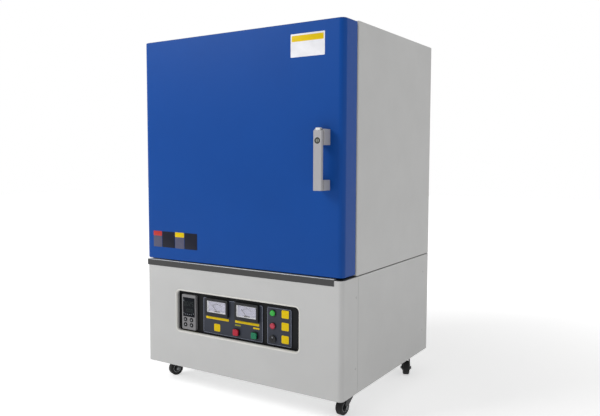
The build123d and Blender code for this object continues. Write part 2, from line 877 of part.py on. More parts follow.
with BuildPart() as thumb_button:
    with BuildSketch(Plane.XY.offset(button_low_z)):
        with Locations((handle_x, button_y)):
            Rectangle(button_size, button_size)
    extrude(amount=handle_block_top_z + button_rise - button_low_z)
    fillet(thumb_button.edges().group_by(Axis.Z)[-1], button_edge_radius)
    with BuildSketch(Plane.XY.offset(button_low_z)):
        with Locations((handle_x, button_y)):
            Rectangle(latch_thickness, latch_thickness)
    extrude(amount=-button_nib)
thumb_button.part.label = "thumb_button"
export_step(thumb_button.part, "parts/thumb_button.step")

with BuildPart() as lock_cylinder:
    with BuildSketch(Plane.XZ.offset(-bar_front_y)):
        with Locations((handle_x, lock_z)):
            Circle(lock_radius)
    extrude(amount=-(lock_length - fit))
    with BuildSketch(Plane.XZ.offset(-bar_front_y)):
        with Locations((handle_x, lock_z)):
            Rectangle(keyway_width, keyway_length)
    extrude(amount=-keyway_depth, mode=Mode.SUBTRACT)
lock_cylinder.part.label = "lock_cylinder"
export_step(lock_cylinder.part, "parts/lock_cylinder.step")

# Latch lever inside the door: the button presses its tail, and its beak rises off the strike
beak_y = lining_y + fit
tail_y = button_y - latch_thickness

with BuildPart() as latch_lever:
    with BuildSketch(Plane.YZ.offset(handle_x)):
        with Locations((tail_y, latch_z)):
            Rectangle(latch_pivot_y - tail_y, latch_height, align=(Align.MIN, Align.CENTER))
        with Locations((latch_pivot_y, latch_z)):
            Rectangle(beak_y + beak_length - latch_pivot_y, 2 * beak_drop, align=(Align.MIN, Align.CENTER))
            Circle(latch_boss_radius)
        with Locations((beak_y, latch_z)):
            Rectangle(beak_length, 2 * beak_drop, align=(Align.MIN, Align.MAX))
        with Locations((latch_pivot_y, latch_z)):
            Circle(latch_pin_radius + running_fit, mode=Mode.SUBTRACT)
    extrude(amount=latch_thickness / 2, both=True)
latch_lever.part.label = "latch_lever"
export_step(latch_lever.part, "parts/latch_lever.step")

ear_inside = latch_thickness / 2 + fit
ear_outside = ear_inside + sheet

with BuildPart() as latch_bracket:
    with BuildSketch(facing(sheet)):
        with Locations((handle_x, latch_z)):
            Rectangle(4 * ear_outside, 4 * latch_boss_radius)
            Rectangle(latch_slot_width, latch_slot_height, mode=Mode.SUBTRACT)
    extrude(amount=-sheet)
    with BuildSketch(Plane.YZ.offset(handle_x)):
        with Locations((front_y + sheet, latch_z)):
            Rectangle(
                latch_pivot_back - sheet, 2 * latch_boss_radius, align=(Align.MIN, Align.CENTER))
        with Locations((latch_pivot_y, latch_z)):
            Circle(latch_boss_radius)
    extrude(amount=ear_outside, both=True)
    with BuildSketch(Plane.YZ.offset(handle_x)):
        with Locations((front_y, latch_z)):
            Rectangle(door_thickness, 6 * latch_boss_radius, align=(Align.MIN, Align.CENTER))
    extrude(amount=ear_inside, both=True, mode=Mode.SUBTRACT)
    with BuildSketch(Plane.YZ.offset(handle_x)):
        with Locations((latch_pivot_y, latch_z)):
            Circle(latch_pin_radius)
    extrude(amount=ear_outside + sheet / 2, both=True)
latch_bracket.part.label = "latch_bracket"
export_step(latch_bracket.part, "parts/latch_bracket.step")

# Instrument tray behind the window, and the two plates on it, with holes for what they carry
meter_places = [(meter_middle_x + side * meter_spacing / 2, cabinet_z + meter_middle) for side in (-1, 1)]
push_z = cabinet_z + push_button_middle
key_switch_z = cabinet_z + key_switch_middle
push_places = [(stop_button_x, push_z), (start_button_x, push_z)]
lamp_places = [(lamp_x, cabinet_z + green_lamp_middle), (lamp_x, cabinet_z + red_lamp_middle)]
barrel_places = push_places + lamp_places + [(lamp_x, key_switch_z)]
controller_place = (controller_x, cabinet_z + controller_middle)
plate_back = window_depth - plate_thickness

with BuildPart() as instrument_tray:
    with BuildSketch(facing(window_depth)):
        with Locations((window_x, cabinet_z + window_middle)):
            Rectangle(window_width + 2 * tray_margin, window_height + 2 * tray_margin)
        with Locations(controller_place):
            Rectangle(controller_body_width + 2 * fit, controller_body_height + 2 * fit, mode=Mode.SUBTRACT)
        with Locations(*meter_places):
            Circle(meter_barrel_radius + fit, mode=Mode.SUBTRACT)
        with Locations(*barrel_places):
            Circle(barrel_radius + fit, mode=Mode.SUBTRACT)
    extrude(amount=-tray_sheet)
instrument_tray.part.label = "instrument_tray"
export_step(instrument_tray.part, "parts/instrument_tray.step")

with BuildPart() as instrument_plates:
    with BuildSketch(facing(plate_back)):
        for plate_x, plate_width in (
                (meter_plate_x, meter_plate_width), (switch_plate_x, switch_plate_width)):
            with Locations((plate_x, cabinet_z + plate_middle)):
                RectangleRounded(plate_width, plate_height, plate_radius)
        with Locations(*meter_places):
            Circle(meter_barrel_radius + fit, mode=Mode.SUBTRACT)
        with Locations(*barrel_places):
            Circle(barrel_radius + fit, mode=Mode.SUBTRACT)
    extrude(amount=-plate_thickness)
instrument_plates.part.label = "instrument_plates"
export_step(instrument_plates.part, "parts/instrument_plates.step")

# Temperature controller, with its display recess and a pocket for each key
controller_face = window_depth - controller_proud
key_places = [
    (controller_x + key_group_x + across * key_spacing_x / 2, cabinet_z + key_group_middle + up * key_spacing_z / 2)
    for up in (1, -1) for across in (-1, 1)]

with BuildPart() as controller_case:
    with BuildSketch(facing(window_depth)):
        with Locations(controller_place):
            RectangleRounded(controller_width, controller_height, controller_radius)
    extrude(amount=controller_proud)
    fillet(controller_case.faces().sort_by(Axis.Y)[0].edges(), controller_face_radius)
    with BuildSketch(facing(window_depth)):
        with Locations(controller_place):
            Rectangle(controller_body_width, controller_body_height)
    extrude(amount=-controller_body)
    with BuildSketch(facing(controller_face)):
        with Locations((controller_x + display_x, cabinet_z + display_middle)):
            RectangleRounded(display_width, display_height, controller_face_radius)
    extrude(amount=-display_recess, mode=Mode.SUBTRACT)
    with BuildSketch(facing(controller_face)):
        with Locations(*key_places):
            RectangleRounded(key_width + 2 * fit, key_height + 2 * fit, key_radius + fit)
    extrude(amount=-key_pocket, mode=Mode.SUBTRACT)
controller_case.part.label = "controller_case"
export_step(controller_case.part, "parts/controller_case.step")

for number, place in enumerate(key_places, start=1):
    with BuildPart() as controller_key:
        with BuildSketch(facing(controller_face - key_proud)):
            with Locations(place):
                RectangleRounded(key_width, key_height, key_radius)
        extrude(amount=-key_thickness)
        fillet(controller_key.edges().group_by(Axis.Y)[0], key_proud / 2)
    controller_key.part.label = f"controller_key_{number}"
    export_step(controller_key.part, f"parts/controller_key_{number}.step")

# Panel meters: case with a dial well, clear window, and a needle on a short spindle
meter_face = plate_back - meter_proud
dial_places = [(place_x, cabinet_z + dial_middle) for place_x, place_z in meter_places]
glass_front = meter_face + glass_inset
dial_face = meter_face + dial_well
needle_front = dial_face - needle_clearance - needle_thickness
pivot_z = cabinet_z + dial_middle - dial_height / 2 + needle_pivot_rise

with BuildPart() as meter_cases:
    with BuildSketch(facing(plate_back)):
        with Locations(*meter_places):
            RectangleRounded(meter_width, meter_height, meter_radius)
    extrude(amount=meter_proud)
    fillet(meter_cases.edges().group_by(Axis.Y)[0], meter_radius / 2)
    with BuildSketch(facing(plate_back)):
        with Locations(*meter_places):
            Circle(meter_barrel_radius)
    extrude(amount=-meter_barrel_length)
    with BuildSketch(facing(meter_face)):
        with Locations(*dial_places):
            Rectangle(dial_width, dial_height)
    extrude(amount=-dial_well, mode=Mode.SUBTRACT)
meter_cases.part.label = "meter_cases"
export_step(meter_cases.part, "parts/meter_cases.step")

with BuildPart() as meter_windows:
    with BuildSketch(facing(glass_front)):
        with Locations(*dial_places):
            Rectangle(dial_width, dial_height)
    extrude(amount=-glass_thickness)
meter_windows.part.label = "meter_windows"
export_step(meter_windows.part, "parts/meter_windows.step")

for hand, (place_x, place_z) in zip(("left", "right"), meter_places):
    with BuildPart() as meter_needle:
        with BuildSketch(facing(needle_front)):
            with Locations((place_x, pivot_z)):
                Rectangle(
                    needle_width, needle_length, rotation=needle_rest, align=(Align.CENTER, Align.MIN))
                Circle(needle_hub_radius)
        extrude(amount=-needle_thickness)
        with BuildSketch(facing(needle_front)):
            with Locations((place_x, pivot_z)):
                Circle(needle_hub_radius)
        extrude(amount=-(needle_thickness + needle_clearance - fit))
    meter_needle.part.label = f"meter_needle_{hand}"
    export_step(meter_needle.part, f"parts/meter_needle_{hand}.step")

# Bezels with their barrels: two square ones, two for the lamps, and the key switch's body
bezel_face = plate_back - bezel_proud
switch_face = plate_back - switch_proud

with BuildPart() as panel_bezels:
    with BuildSketch(facing(plate_back)):
        with Locations(*push_places):
            RectangleRounded(button_bezel, button_bezel, cap_radius + bezel_wall)
            RectangleRounded(button_cap + 2 * fit, button_cap + 2 * fit, cap_radius + fit, mode=Mode.SUBTRACT)
    extrude(amount=bezel_proud)
    with BuildSketch(facing(plate_back)):
        with Locations(*lamp_places):
            Circle(lamp_radius + bezel_wall)
            Circle(lamp_radius + running_fit, mode=Mode.SUBTRACT)
    extrude(amount=lamp_ring_proud)
    with BuildSketch(facing(plate_back)):
        with Locations((lamp_x, key_switch_z)):
            Circle(switch_radius)
    extrude(amount=switch_proud)
    with BuildSketch(facing(plate_back)):
        with Locations(*barrel_places):
            Circle(barrel_radius)
    extrude(amount=-barrel_length)
    with BuildSketch(facing(plate_back)):
        with Locations(*push_places):
            Circle(stem_radius + fit)
    extrude(amount=-(stem_length + push_travel + fit), mode=Mode.SUBTRACT)
    with BuildSketch(facing(switch_face)):
        with Locations((lamp_x, key_switch_z)):
            Circle(rotor_radius + running_fit)
    extrude(amount=-(rotor_length + fit), mode=Mode.SUBTRACT)
panel_bezels.part.label = "panel_bezels"
export_step(panel_bezels.part, "parts/panel_bezels.step")

cap_face = plate_back - button_proud

for name, place in zip(("stop_button", "start_button"), push_places):
    with BuildPart() as push_button:
        with BuildSketch(facing(cap_face)):
            with Locations(place):
                RectangleRounded(button_cap, button_cap, cap_radius)
        extrude(amount=-(button_proud - push_travel - fit))
        fillet(push_button.edges().group_by(Axis.Y)[0], cap_edge_radius)
        with BuildSketch(facing(plate_back - push_travel - fit)):
            with Locations(place):
                Circle(stem_radius)
        extrude(amount=-(stem_length + push_travel))
    push_button.part.label = name
    export_step(push_button.part, f"parts/{name}.step")

with BuildPart() as lamps:
    with BuildSketch(facing(plate_back)):
        with Locations(*lamp_places):
            Circle(lamp_radius)
    extrude(amount=lamp_proud)
    fillet(lamps.edges().group_by(Axis.Y)[0], lamp_dome_radius)
lamps.part.label = "lamps"
export_step(lamps.part, "parts/lamps.step")

with BuildPart() as key_switch_rotor:
    with BuildSketch(facing(switch_face)):
        with Locations((lamp_x, key_switch_z)):
            Circle(rotor_radius)
    extrude(amount=-rotor_length)
    with BuildSketch(facing(switch_face)):
        with Locations((lamp_x, key_switch_z)):
            Rectangle(keyway_width, keyway_length)
    extrude(amount=-keyway_depth, mode=Mode.SUBTRACT)
key_switch_rotor.part.label = "key_switch_rotor"
export_step(key_switch_rotor.part, "parts/key_switch_rotor.step")

# Cooling fan inside the rear panel, with its guard outside
fan_back_y = rear_y - sheet
fan_front_y = fan_back_y - fan_depth

with BuildPart() as fan_housing:
    with BuildSketch(Plane.XZ.offset(-fan_back_y)):
        with Locations((fan_x, fan_z)):
            RectangleRounded(fan_size, fan_size, fan_corner_radius)
            Circle(fan_opening_radius, mode=Mode.SUBTRACT)
    extrude(amount=fan_depth)
    with BuildSketch(Plane.XZ.offset(-fan_front_y)):
        with Locations((fan_x, fan_z)):
            Circle(fan_hub_radius)
            with PolarLocations(fan_opening_radius / 2, fan_struts, start_angle=45):
                Rectangle(fan_opening_radius + fit, fan_strut)
    extrude(amount=-fan_strut)
    with BuildSketch(Plane.XZ.offset(-fan_front_y)):
        with Locations((fan_x, fan_z)):
            Circle(axle_radius)
    extrude(amount=-(fan_depth - fan_strut))
    with BuildSketch(Plane.XZ.offset(-rear_y)):
        with Locations((fan_x, fan_z)):
            for ring in range(guard_rings):
                Circle(fan_opening_radius - ring * guard_pitch + guard_wire)
                Circle(fan_opening_radius - ring * guard_pitch, mode=Mode.SUBTRACT)
            with PolarLocations(fan_size / 3, fan_struts, start_angle=45):
                Rectangle(fan_size / 1.8, guard_wire)
    extrude(amount=-guard_wire)
fan_housing.part.label = "fan_housing"
export_step(fan_housing.part, "parts/fan_housing.step")

rotor_y = fan_front_y + fan_strut + fit
rotor_depth = fan_depth - 2 * fan_strut

with BuildPart() as fan_rotor:
    with PolarLocations(0, 1):
        with Locations(Location((fan_x, rotor_y + rotor_depth / 2, fan_z), (90, 0, 0))):
            with PolarLocations(fan_hub_radius + blade_length / 2, fan_blades):
                Box(blade_length + fan_strut, blade_chord, blade_thickness, rotation=(blade_pitch, 0, 0))
    with BuildSketch(Plane.XZ.offset(-rotor_y)):
        with Locations((fan_x, fan_z)):
            Circle(fan_hub_radius)
    extrude(amount=-rotor_depth)
    with BuildSketch(Plane.XZ.offset(-rotor_y)):
        with Locations((fan_x, fan_z)):
            Circle(axle_radius + running_fit)
    extrude(amount=-rotor_depth, mode=Mode.SUBTRACT)
fan_rotor.part.label = "fan_rotor"
export_step(fan_rotor.part, "parts/fan_rotor.step")

# Gland for the supply lead: thread through the rear panel, nut inside, collar and dome outside
with BuildPart() as cable_gland:
    with BuildSketch(Plane.XZ.offset(-(rear_y + gland_reach))):
        with Locations((gland_x, gland_z)):
            Circle(gland_radius)
    extrude(amount=gland_reach + sheet + 2 * gland_nut)
    chamfer(cable_gland.edges().group_by(Axis.Y)[-1], gland_nut / 2)
    for nut_y in (rear_y + gland_nut, rear_y - sheet):
        with BuildSketch(Plane.XZ.offset(-nut_y)):
            with Locations((gland_x, gland_z)):
                RegularPolygon(gland_radius + gland_nut / 2, 6)
        extrude(amount=gland_nut)
    with BuildSketch(Plane.XZ.offset(-(rear_y + gland_reach))):
        with Locations((gland_x, gland_z)):
            Circle(cord_radius)
    extrude(amount=gland_reach + sheet + 2 * gland_nut, mode=Mode.SUBTRACT)
cable_gland.part.label = "cable_gland"
export_step(cable_gland.part, "parts/cable_gland.step")

# Power parts on the cabinet's bottom plate: transformer, and power regulator on its heat sink
power_z = cabinet_z + frame_plate

with BuildPart() as transformer:
    with Locations((transformer_x, middle_y, power_z)):
        Box(core_width, core_depth, core_height, align=(Align.CENTER, Align.CENTER, Align.MIN))
    with Locations((transformer_x, middle_y, power_z + core_height / 2)):
        Box(core_width - 2 * core_leg, coil_depth, core_height - 2 * core_leg)
    fillet(transformer.edges().filter_by(Axis.Z).group_by(Axis.Y)[0], core_leg / 4)
    fillet(transformer.edges().filter_by(Axis.Z).group_by(Axis.Y)[-1], core_leg / 4)
transformer.part.label = "transformer"
export_step(transformer.part, "parts/transformer.step")

with BuildPart() as power_regulator:
    with Locations((regulator_x, middle_y, power_z)):
        Box(sink_width, sink_depth, sink_base, align=(Align.CENTER, Align.CENTER, Align.MIN))
        with GridLocations(sink_pitch, 0, sink_fins, 1):
            Box(sheet, sink_depth, sink_height, align=(Align.CENTER, Align.CENTER, Align.MIN))
power_regulator.part.label = "power_regulator"
export_step(power_regulator.part, "parts/power_regulator.step")

# Casters, each on a plate with race and kingpin. Heading: from the kingpin to the axle, degrees from +X
casters = {
    "front_left": (-caster_x, front_y + front_caster_back, -112),
    "front_right": (caster_x, front_y + front_caster_back, -97),
    "rear_left": (-caster_x, front_y + rear_caster_back, -80),
    "rear_right": (caster_x, front_y + rear_caster_back, -62),
}
kingpin_places = [(pin_x, pin_y) for pin_x, pin_y, heading in casters.values()]
race_z = cabinet_z - caster_plate - race_height
fork_top_z = race_z - fit
kingpin_nut_z = fork_top_z - fork_sheet - fit - kingpin_nut
arm_inside = wheel_width / 2 + wheel_side_gap
arm_outside = arm_inside + fork_sheet

with BuildPart() as caster_mounts:
    with BuildSketch(Plane.XY.offset(cabinet_z)):
        with Locations(*kingpin_places):
            RectangleRounded(caster_plate_size, caster_plate_size, fork_sheet)
    extrude(amount=-caster_plate)
    for outline_radius, low_z, height in (
            (race_radius, race_z, race_height),
            (kingpin_radius, kingpin_nut_z, race_z - kingpin_nut_z),
            (2 * kingpin_radius, kingpin_nut_z, kingpin_nut)):
        with BuildSketch(Plane.XY.offset(low_z)):
            with Locations(*kingpin_places):
                Circle(outline_radius)
        extrude(amount=height)
caster_mounts.part.label = "caster_mounts"
export_step(caster_mounts.part, "parts/caster_mounts.step")

for name, (pin_x, pin_y, heading) in casters.items():
    ahead = Vector(cos(radians(heading)), sin(radians(heading)), 0)
    across = ahead.cross(Vector(0, 0, 1))
    side_plane = Plane(origin=(pin_x, pin_y, 0), x_dir=ahead, z_dir=across)
    with BuildPart() as caster_fork:
        with BuildSketch(side_plane):
            with BuildLine():
                Polyline(
                    (-race_radius, fork_top_z),
                    (-race_radius, fork_top_z - fork_drop),
                    (caster_trail - fork_end_radius, wheel_radius),
                    (caster_trail + fork_end_radius, wheel_radius),
                    (race_radius, fork_top_z - fork_drop),
                    (race_radius, fork_top_z),
                    close=True)
            make_face()
            with Locations((caster_trail, wheel_radius)):
                Circle(fork_end_radius)
        extrude(amount=arm_outside, both=True)
        with BuildSketch(side_plane):
            Rectangle(4 * caster_trail, fork_top_z - fork_sheet, align=(Align.CENTER, Align.MIN))
        extrude(amount=arm_inside, both=True, mode=Mode.SUBTRACT)
        with BuildSketch(Plane.XY.offset(fork_top_z)):
            with Locations((pin_x, pin_y)):
                Circle(race_radius)
                Circle(kingpin_radius + running_fit, mode=Mode.SUBTRACT)
        extrude(amount=-fork_sheet)
        with BuildSketch(Plane.XY.offset(fork_top_z)):
            with Locations((pin_x, pin_y)):
                Circle(kingpin_radius + running_fit)
        extrude(amount=-fork_sheet, mode=Mode.SUBTRACT)
        with BuildSketch(side_plane):
            with Locations((caster_trail, wheel_radius)):
                Circle(axle_radius)
        extrude(amount=arm_outside + fork_sheet / 2, both=True)
    caster_fork.part.label = f"caster_fork_{name}"
    export_step(caster_fork.part, f"parts/caster_fork_{name}.step")

    with BuildPart() as caster_wheel:
        with BuildSketch(side_plane):
            with Locations((caster_trail, wheel_radius)):
                Circle(wheel_radius)
        extrude(amount=wheel_width / 2, both=True)
        chamfer(caster_wheel.edges(), tread_radius)
        for face_side in (-1, 1):
            with BuildSketch(side_plane.offset(face_side * wheel_width / 2)):
                with Locations((caster_trail, wheel_radius)):
                    Circle(hub_ring_radius)
                    Circle(hub_radius, mode=Mode.SUBTRACT)
            extrude(amount=-face_side * hub_recess, mode=Mode.SUBTRACT)
        with BuildSketch(side_plane):
            with Locations((caster_trail, wheel_radius)):
                Circle(axle_radius + running_fit)
        extrude(amount=wheel_width, both=True, mode=Mode.SUBTRACT)
    caster_wheel.part.label = f"caster_wheel_{name}"
    export_step(caster_wheel.part, f"parts/caster_wheel_{name}.step")

print("Exported 60 pieces")
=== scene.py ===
import json
from math import cos, pi, radians, sin

import bmesh
import bpy
import numpy as np
from bpy.props import FloatProperty, FloatVectorProperty
from mathutils import Matrix, Vector


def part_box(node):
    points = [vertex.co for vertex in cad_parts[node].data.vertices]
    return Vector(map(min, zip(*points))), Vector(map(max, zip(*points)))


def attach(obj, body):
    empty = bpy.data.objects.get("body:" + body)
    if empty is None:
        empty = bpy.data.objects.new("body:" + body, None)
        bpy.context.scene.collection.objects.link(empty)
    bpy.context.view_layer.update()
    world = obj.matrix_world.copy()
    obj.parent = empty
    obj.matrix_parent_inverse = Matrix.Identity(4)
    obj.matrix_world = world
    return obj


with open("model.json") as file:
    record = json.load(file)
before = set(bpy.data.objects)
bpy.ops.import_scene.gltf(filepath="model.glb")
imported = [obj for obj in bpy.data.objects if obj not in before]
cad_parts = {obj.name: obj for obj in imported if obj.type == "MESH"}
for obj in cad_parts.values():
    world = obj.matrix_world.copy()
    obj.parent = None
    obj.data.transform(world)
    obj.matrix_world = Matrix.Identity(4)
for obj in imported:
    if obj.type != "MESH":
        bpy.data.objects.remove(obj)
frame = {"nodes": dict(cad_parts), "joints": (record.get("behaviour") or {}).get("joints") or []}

bl_info = {
    "name": "Chamber furnace",
    "version": (1, 0, 0),
    "blender": (4, 5, 0),
    "location": "3D View > Sidebar > Furnace",
    "description": "Dresses a chamber furnace: finishes, labels, dials, display, screws and studio",
    "category": "Object",
}


def low(node, axis):
    """Lowest place of a CAD node along an axis, 0 for X, 1 for Y, 2 for Z."""
    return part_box(node)[0][axis]


def high(node, axis):
    """Highest place of a CAD node along an axis."""
    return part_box(node)[1][axis]


def middle(node, axis):
    """Middle of a CAD node's box along an axis."""
    return (low(node, axis) + high(node, axis)) / 2


# Materials


class Signal:
    """A socket in a finish. Python's operators on it add Math nodes."""

    def __init__(self, finish, socket):
        self.finish = finish
        self.socket = socket

    def _math(self, operation, *values):
        return self.finish.node("Math", {"operation": operation}, dict(enumerate(values)))

    def __add__(self, other):
        return self._math("ADD", self, other)

    __radd__ = __add__

    def __sub__(self, other):
        return self._math("SUBTRACT", self, other)

    def __rsub__(self, other):
        return self._math("SUBTRACT", other, self)

    def __mul__(self, other):
        return self._math("MULTIPLY", self, other)

    __rmul__ = __mul__

    def __gt__(self, other):
        return self._math("GREATER_THAN", self, other)


class Finish:
    """A node material on a Principled shader, patterned in Object coordinates (metres)."""

    def __init__(self, name, roughness=0.5, metallic=0.0):
        self.material = bpy.data.materials.new(name)
        self.material.use_nodes = True
        self.tree = self.material.node_tree
        self.shader = self.tree.nodes["Principled BSDF"]
        self.shader.inputs["Roughness"].default_value = roughness
        self.shader.inputs["Metallic"].default_value = metallic
        self.place = self.node("TexCoord", output="Object")

    def node(self, kind, settings=None, values=None, output=0):
        """Adds a shader node: its type, its settings, then values or links of its sockets."""
        node = self.tree.nodes.new("ShaderNode" + kind)
        for name, value in (settings or {}).items():
            setattr(node, name, value)
        for key, value in (values or {}).items():
            if isinstance(value, Signal):
                self.tree.links.new(value.socket, node.inputs[key])
            else:
                node.inputs[key].default_value = value
        return Signal(self, node.outputs[output])

    def noise(self, scale, detail=2.0, stretch=(1, 1, 1)):
        """Noise between 0 and 1 of so many lumps a metre, stretched along the axes."""
        moved = self.node("Mapping", values={"Vector": self.place, "Scale": stretch})
        return self.node("TexNoise", values={"Vector": moved, "Scale": scale, "Detail": detail})

    def axis(self, letter):
        """One coordinate of the place on the object, in metres."""
        return self.node("SeparateXYZ", values={"Vector": self.place}, output=letter)

    def ramp(self, value, first, last):
        """Value brought to 0 at first and 1 at last, and kept between."""
        return self.node("MapRange", values={"Value": value, "From Min": first, "From Max": last})

    def mix(self, mask, base, other):
        """Colour that goes from base, at mask 0, to other, at mask 1."""
        first, second = (c if isinstance(c, Signal) else (*c[:3], 1) for c in (base, other))
        factor_in, first_in, second_in, colour_out = 0, 6, 7, 2
        return self.node(
            "Mix", {"data_type": "RGBA"}, {factor_in: mask, first_in: first, second_in: second}, colour_out)

    def set(self, name, value):
        """Links or sets one socket of the shader."""
        if isinstance(value, Signal):
            self.tree.links.new(value.socket, self.shader.inputs[name])
        else:
            self.shader.inputs[name].default_value = value
        return self

    def colour(self, value):
        """Base colour, as three numbers or a mixed colour."""
        return self.set("Base Color", value if isinstance(value, Signal) else (*value[:3], 1))

    def bump(self, height, strength=0.3, depth=0.0002):
        """Relief whose height signal is worth so many metres."""
        relief = self.node(
            "Bump", values={"Height": height, "Strength": strength, "Distance": depth}, output="Normal")
        return self.set("Normal", relief)


def linear(shade):
    """Screen shades, 0 to 1, turned into the linear numbers that a shader takes."""
    return tuple(s / 12.92 if s <= 0.04045 else ((s + 0.055) / 1.055) ** 2.4 for s in shade)


def hex_shade(text):
    """Linear colour of a six-digit shade."""
    return linear([int(text[i:i + 2], 16) / 255 for i in (0, 2, 4)])


def darker(shade, factor):
    """The same colour, darker or lighter by a factor."""
    return tuple(min(1.0, s * factor) for s in shade[:3])


def powder_coat(name, shade, grain=900, roughness=0.42, gloss=0.5):
    """Powder coat: fine orange peel, a little cloudiness in colour and sheen."""
    finish = Finish(name, roughness)
    finish.set("Specular IOR Level", gloss)
    cloud = finish.noise(9, 3)
    peel = finish.noise(grain, 2)
    finish.colour(finish.mix(cloud, darker(shade, 0.93), darker(shade, 1.06)))
    finish.set("Roughness", roughness - 0.05 + 0.1 * finish.noise(40, 2) + 0.06 * peel)
    return finish.bump(peel, 0.25, 0.00008)


def brushed(name, shade, stretch, roughness=0.3, grain=260):
    """Brushed metal: long fine scratches along one axis, in sheen and relief."""
    finish = Finish(name, roughness, 1.0)
    scratch = finish.noise(grain, 3, stretch)
    finish.colour(finish.mix(finish.noise(14, 2), darker(shade, 0.9), darker(shade, 1.05)))
    finish.set("Roughness", roughness - 0.08 + 0.2 * scratch)
    return finish.bump(scratch, 0.15, 0.00005)


def moulded(name, shade, roughness=0.45, grain=1600, gloss=0.3):
    """Moulded plastic: fine spark grain, faint flow clouds."""
    finish = Finish(name, roughness)
    finish.set("Specular IOR Level", gloss)
    grains = finish.noise(grain, 1)
    finish.colour(finish.mix(finish.noise(30, 2), darker(shade, 0.85), darker(shade, 1.15)))
    finish.set("Roughness", roughness - 0.05 + 0.12 * grains)
    return finish.bump(grains, 0.2, 0.00004)


def fibrous(name, shade, grain=320, depth=0.0006):
    """Fibre board or rope: matted fibres with speckles and soft dents."""
    finish = Finish(name, 0.95)
    fibre = finish.noise(grain, 5, (1, 1, 2.5))
    speck = finish.ramp(finish.noise(700, 2), 0.62, 0.7)
    matted = finish.mix(fibre, darker(shade, 0.86), darker(shade, 1.05))
    finish.colour(finish.mix(speck, matted, darker(shade, 0.6)))
    return finish.bump(fibre, 0.6, depth)


def assign(node, finish):
    """Gives a CAD node's object one finish."""
    slots = frame["nodes"][node].data.materials
    slots.clear()
    slots.append(finish.material)


# Settings


def shade_setting(name, text, words):
    """Colour setting with its default given as a six-digit screen shade."""
    return FloatVectorProperty(name=name, description=words, subtype="COLOR", size=3, min=0, max=1,
                               default=hex_shade(text))


class FurnaceShades(bpy.types.PropertyGroup):
    """Colours of the furnace."""
    door: shade_setting("Door", "0c4592", "Powder coat of the door")
    body: shade_setting("Body", "bbbbba", "Powder coat of cabinet and casing")
    plate: shade_setting("Plates", "2d313c", "Anodised instrument plates")
    black: shade_setting("Black parts", "17181b", "Plastic of handle, controller and bezels")
    stop: shade_setting("Stop button", "a80f2c", "Cap of the stop button")
    start: shade_setting("Start button", "006f4c", "Cap of the start button")
    green_lamp: shade_setting("Green lamp", "1d9a2e", "Lens of the upper lamp")
    red_lamp: shade_setting("Red lamp", "a31a36", "Lens of the lower lamp")
    label: shade_setting("Labels", "dbbb08", "Yellow of the printed labels")
    ink: shade_setting("Ink", "202124", "Dark print")
    dial: shade_setting("Dials", "b2b1c6", "Meter dials")


class FurnaceStudio(bpy.types.PropertyGroup):
    """Studio round the furnace."""
    floor: shade_setting("Floor", "f4f4f4", "Pale floor")
    glow: FloatProperty(
        name="Floor glow", description="Light of the floor itself, as on a light table", default=0.8, min=0)
    key: FloatProperty(
        name="Key light", description="Power of the large front light", default=54, min=0, unit="POWER")
    fill: FloatProperty(
        name="Fill light", description="Power of the light on the right", default=5, min=0, unit="POWER")
    world: FloatProperty(
        name="Surroundings", description="Brightness of the surroundings", default=0.28, min=0)


def shades():
    """The furnace's colours as they are set now."""
    return bpy.context.scene.furnace_shades


# Shapes, as numpy arrays


def rounded_outline(width, height, radius, steps=6):
    """Outline of a rounded rectangle: each corner is centre + radius * (cos t, sin t), t over a
    quarter turn."""
    turn = np.linspace(0, pi / 2, steps + 1)
    starts = np.array([0, 1, 2, 3])[:, None] * pi / 2
    angle = (starts + turn).ravel()
    reach = np.repeat(np.array([[1, 1], [-1, 1], [-1, -1], [1, -1]]), steps + 1, axis=0)
    centre = reach * (np.array([width, height]) / 2 - radius)
    return centre + radius * np.stack([np.cos(angle), np.sin(angle)], 1)


def grid_faces(rows, columns):
    """Quads between stacked closed rings: corner (r, c) joins (r, c + 1), (r + 1, c + 1) and (r + 1, c)."""
    r, c = np.meshgrid(np.arange(rows - 1), np.arange(columns), indexing="ij")
    after = (c + 1) % columns
    here, next_row = r * columns, (r + 1) * columns
    quads = np.stack([here + c, here + after, next_row + after, next_row + c], 2)
    return quads.reshape(-1, 4).tolist()


def add_piece(name, points, faces, finish, body, slot, smooth=30):
    """Puts points and faces into a mesh that rides on a CAD body, shaded smooth up to an angle in degrees."""
    mesh = bpy.data.meshes.new(name)
    mesh.from_pydata(np.asarray(points).reshape(-1, 3).tolist(), [], faces)
    mesh.materials.append(finish.material)
    piece = bpy.data.objects.new(name, mesh)
    bpy.context.collection.objects.link(piece)
    shape = bmesh.new()
    shape.from_mesh(mesh)
    bmesh.ops.recalc_face_normals(shape, faces=shape.faces)
    for edge in shape.edges:
        edge.smooth = edge.calc_face_angle(0) < radians(smooth)
    for face in shape.faces:
        face.smooth = True
    shape.to_mesh(mesh)
    shape.free()
    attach(piece, body)
    return piece


def stacked(rings):
    """Closed surface through stacked rings, an array (ring, point, 3), with a polygon over each end."""
    count, around = rings.shape[:2]
    ends = [list(range(around))[::-1], list(range((count - 1) * around, count * around))]
    return rings.reshape(-1, 3), grid_faces(count, around) + ends


def ring_round(rings):
    """Shell through rings, an array (ring, point, 3), whose last ring joins the first."""
    count, around = rings.shape[:2]
    faces = np.array(grid_faces(count + 1, around)) % (count * around)
    return rings, faces.tolist()


def on_front(centre, rings, depth):
    """Flat rings (ring, point, 2) stood up to look to the front: (x + u, y + depth of the ring, z + v)."""
    x, y, z = centre
    return np.stack([
        x + rings[..., 0], np.broadcast_to((y + depth)[:, None], rings.shape[:2]), z + rings[..., 1]], 2)


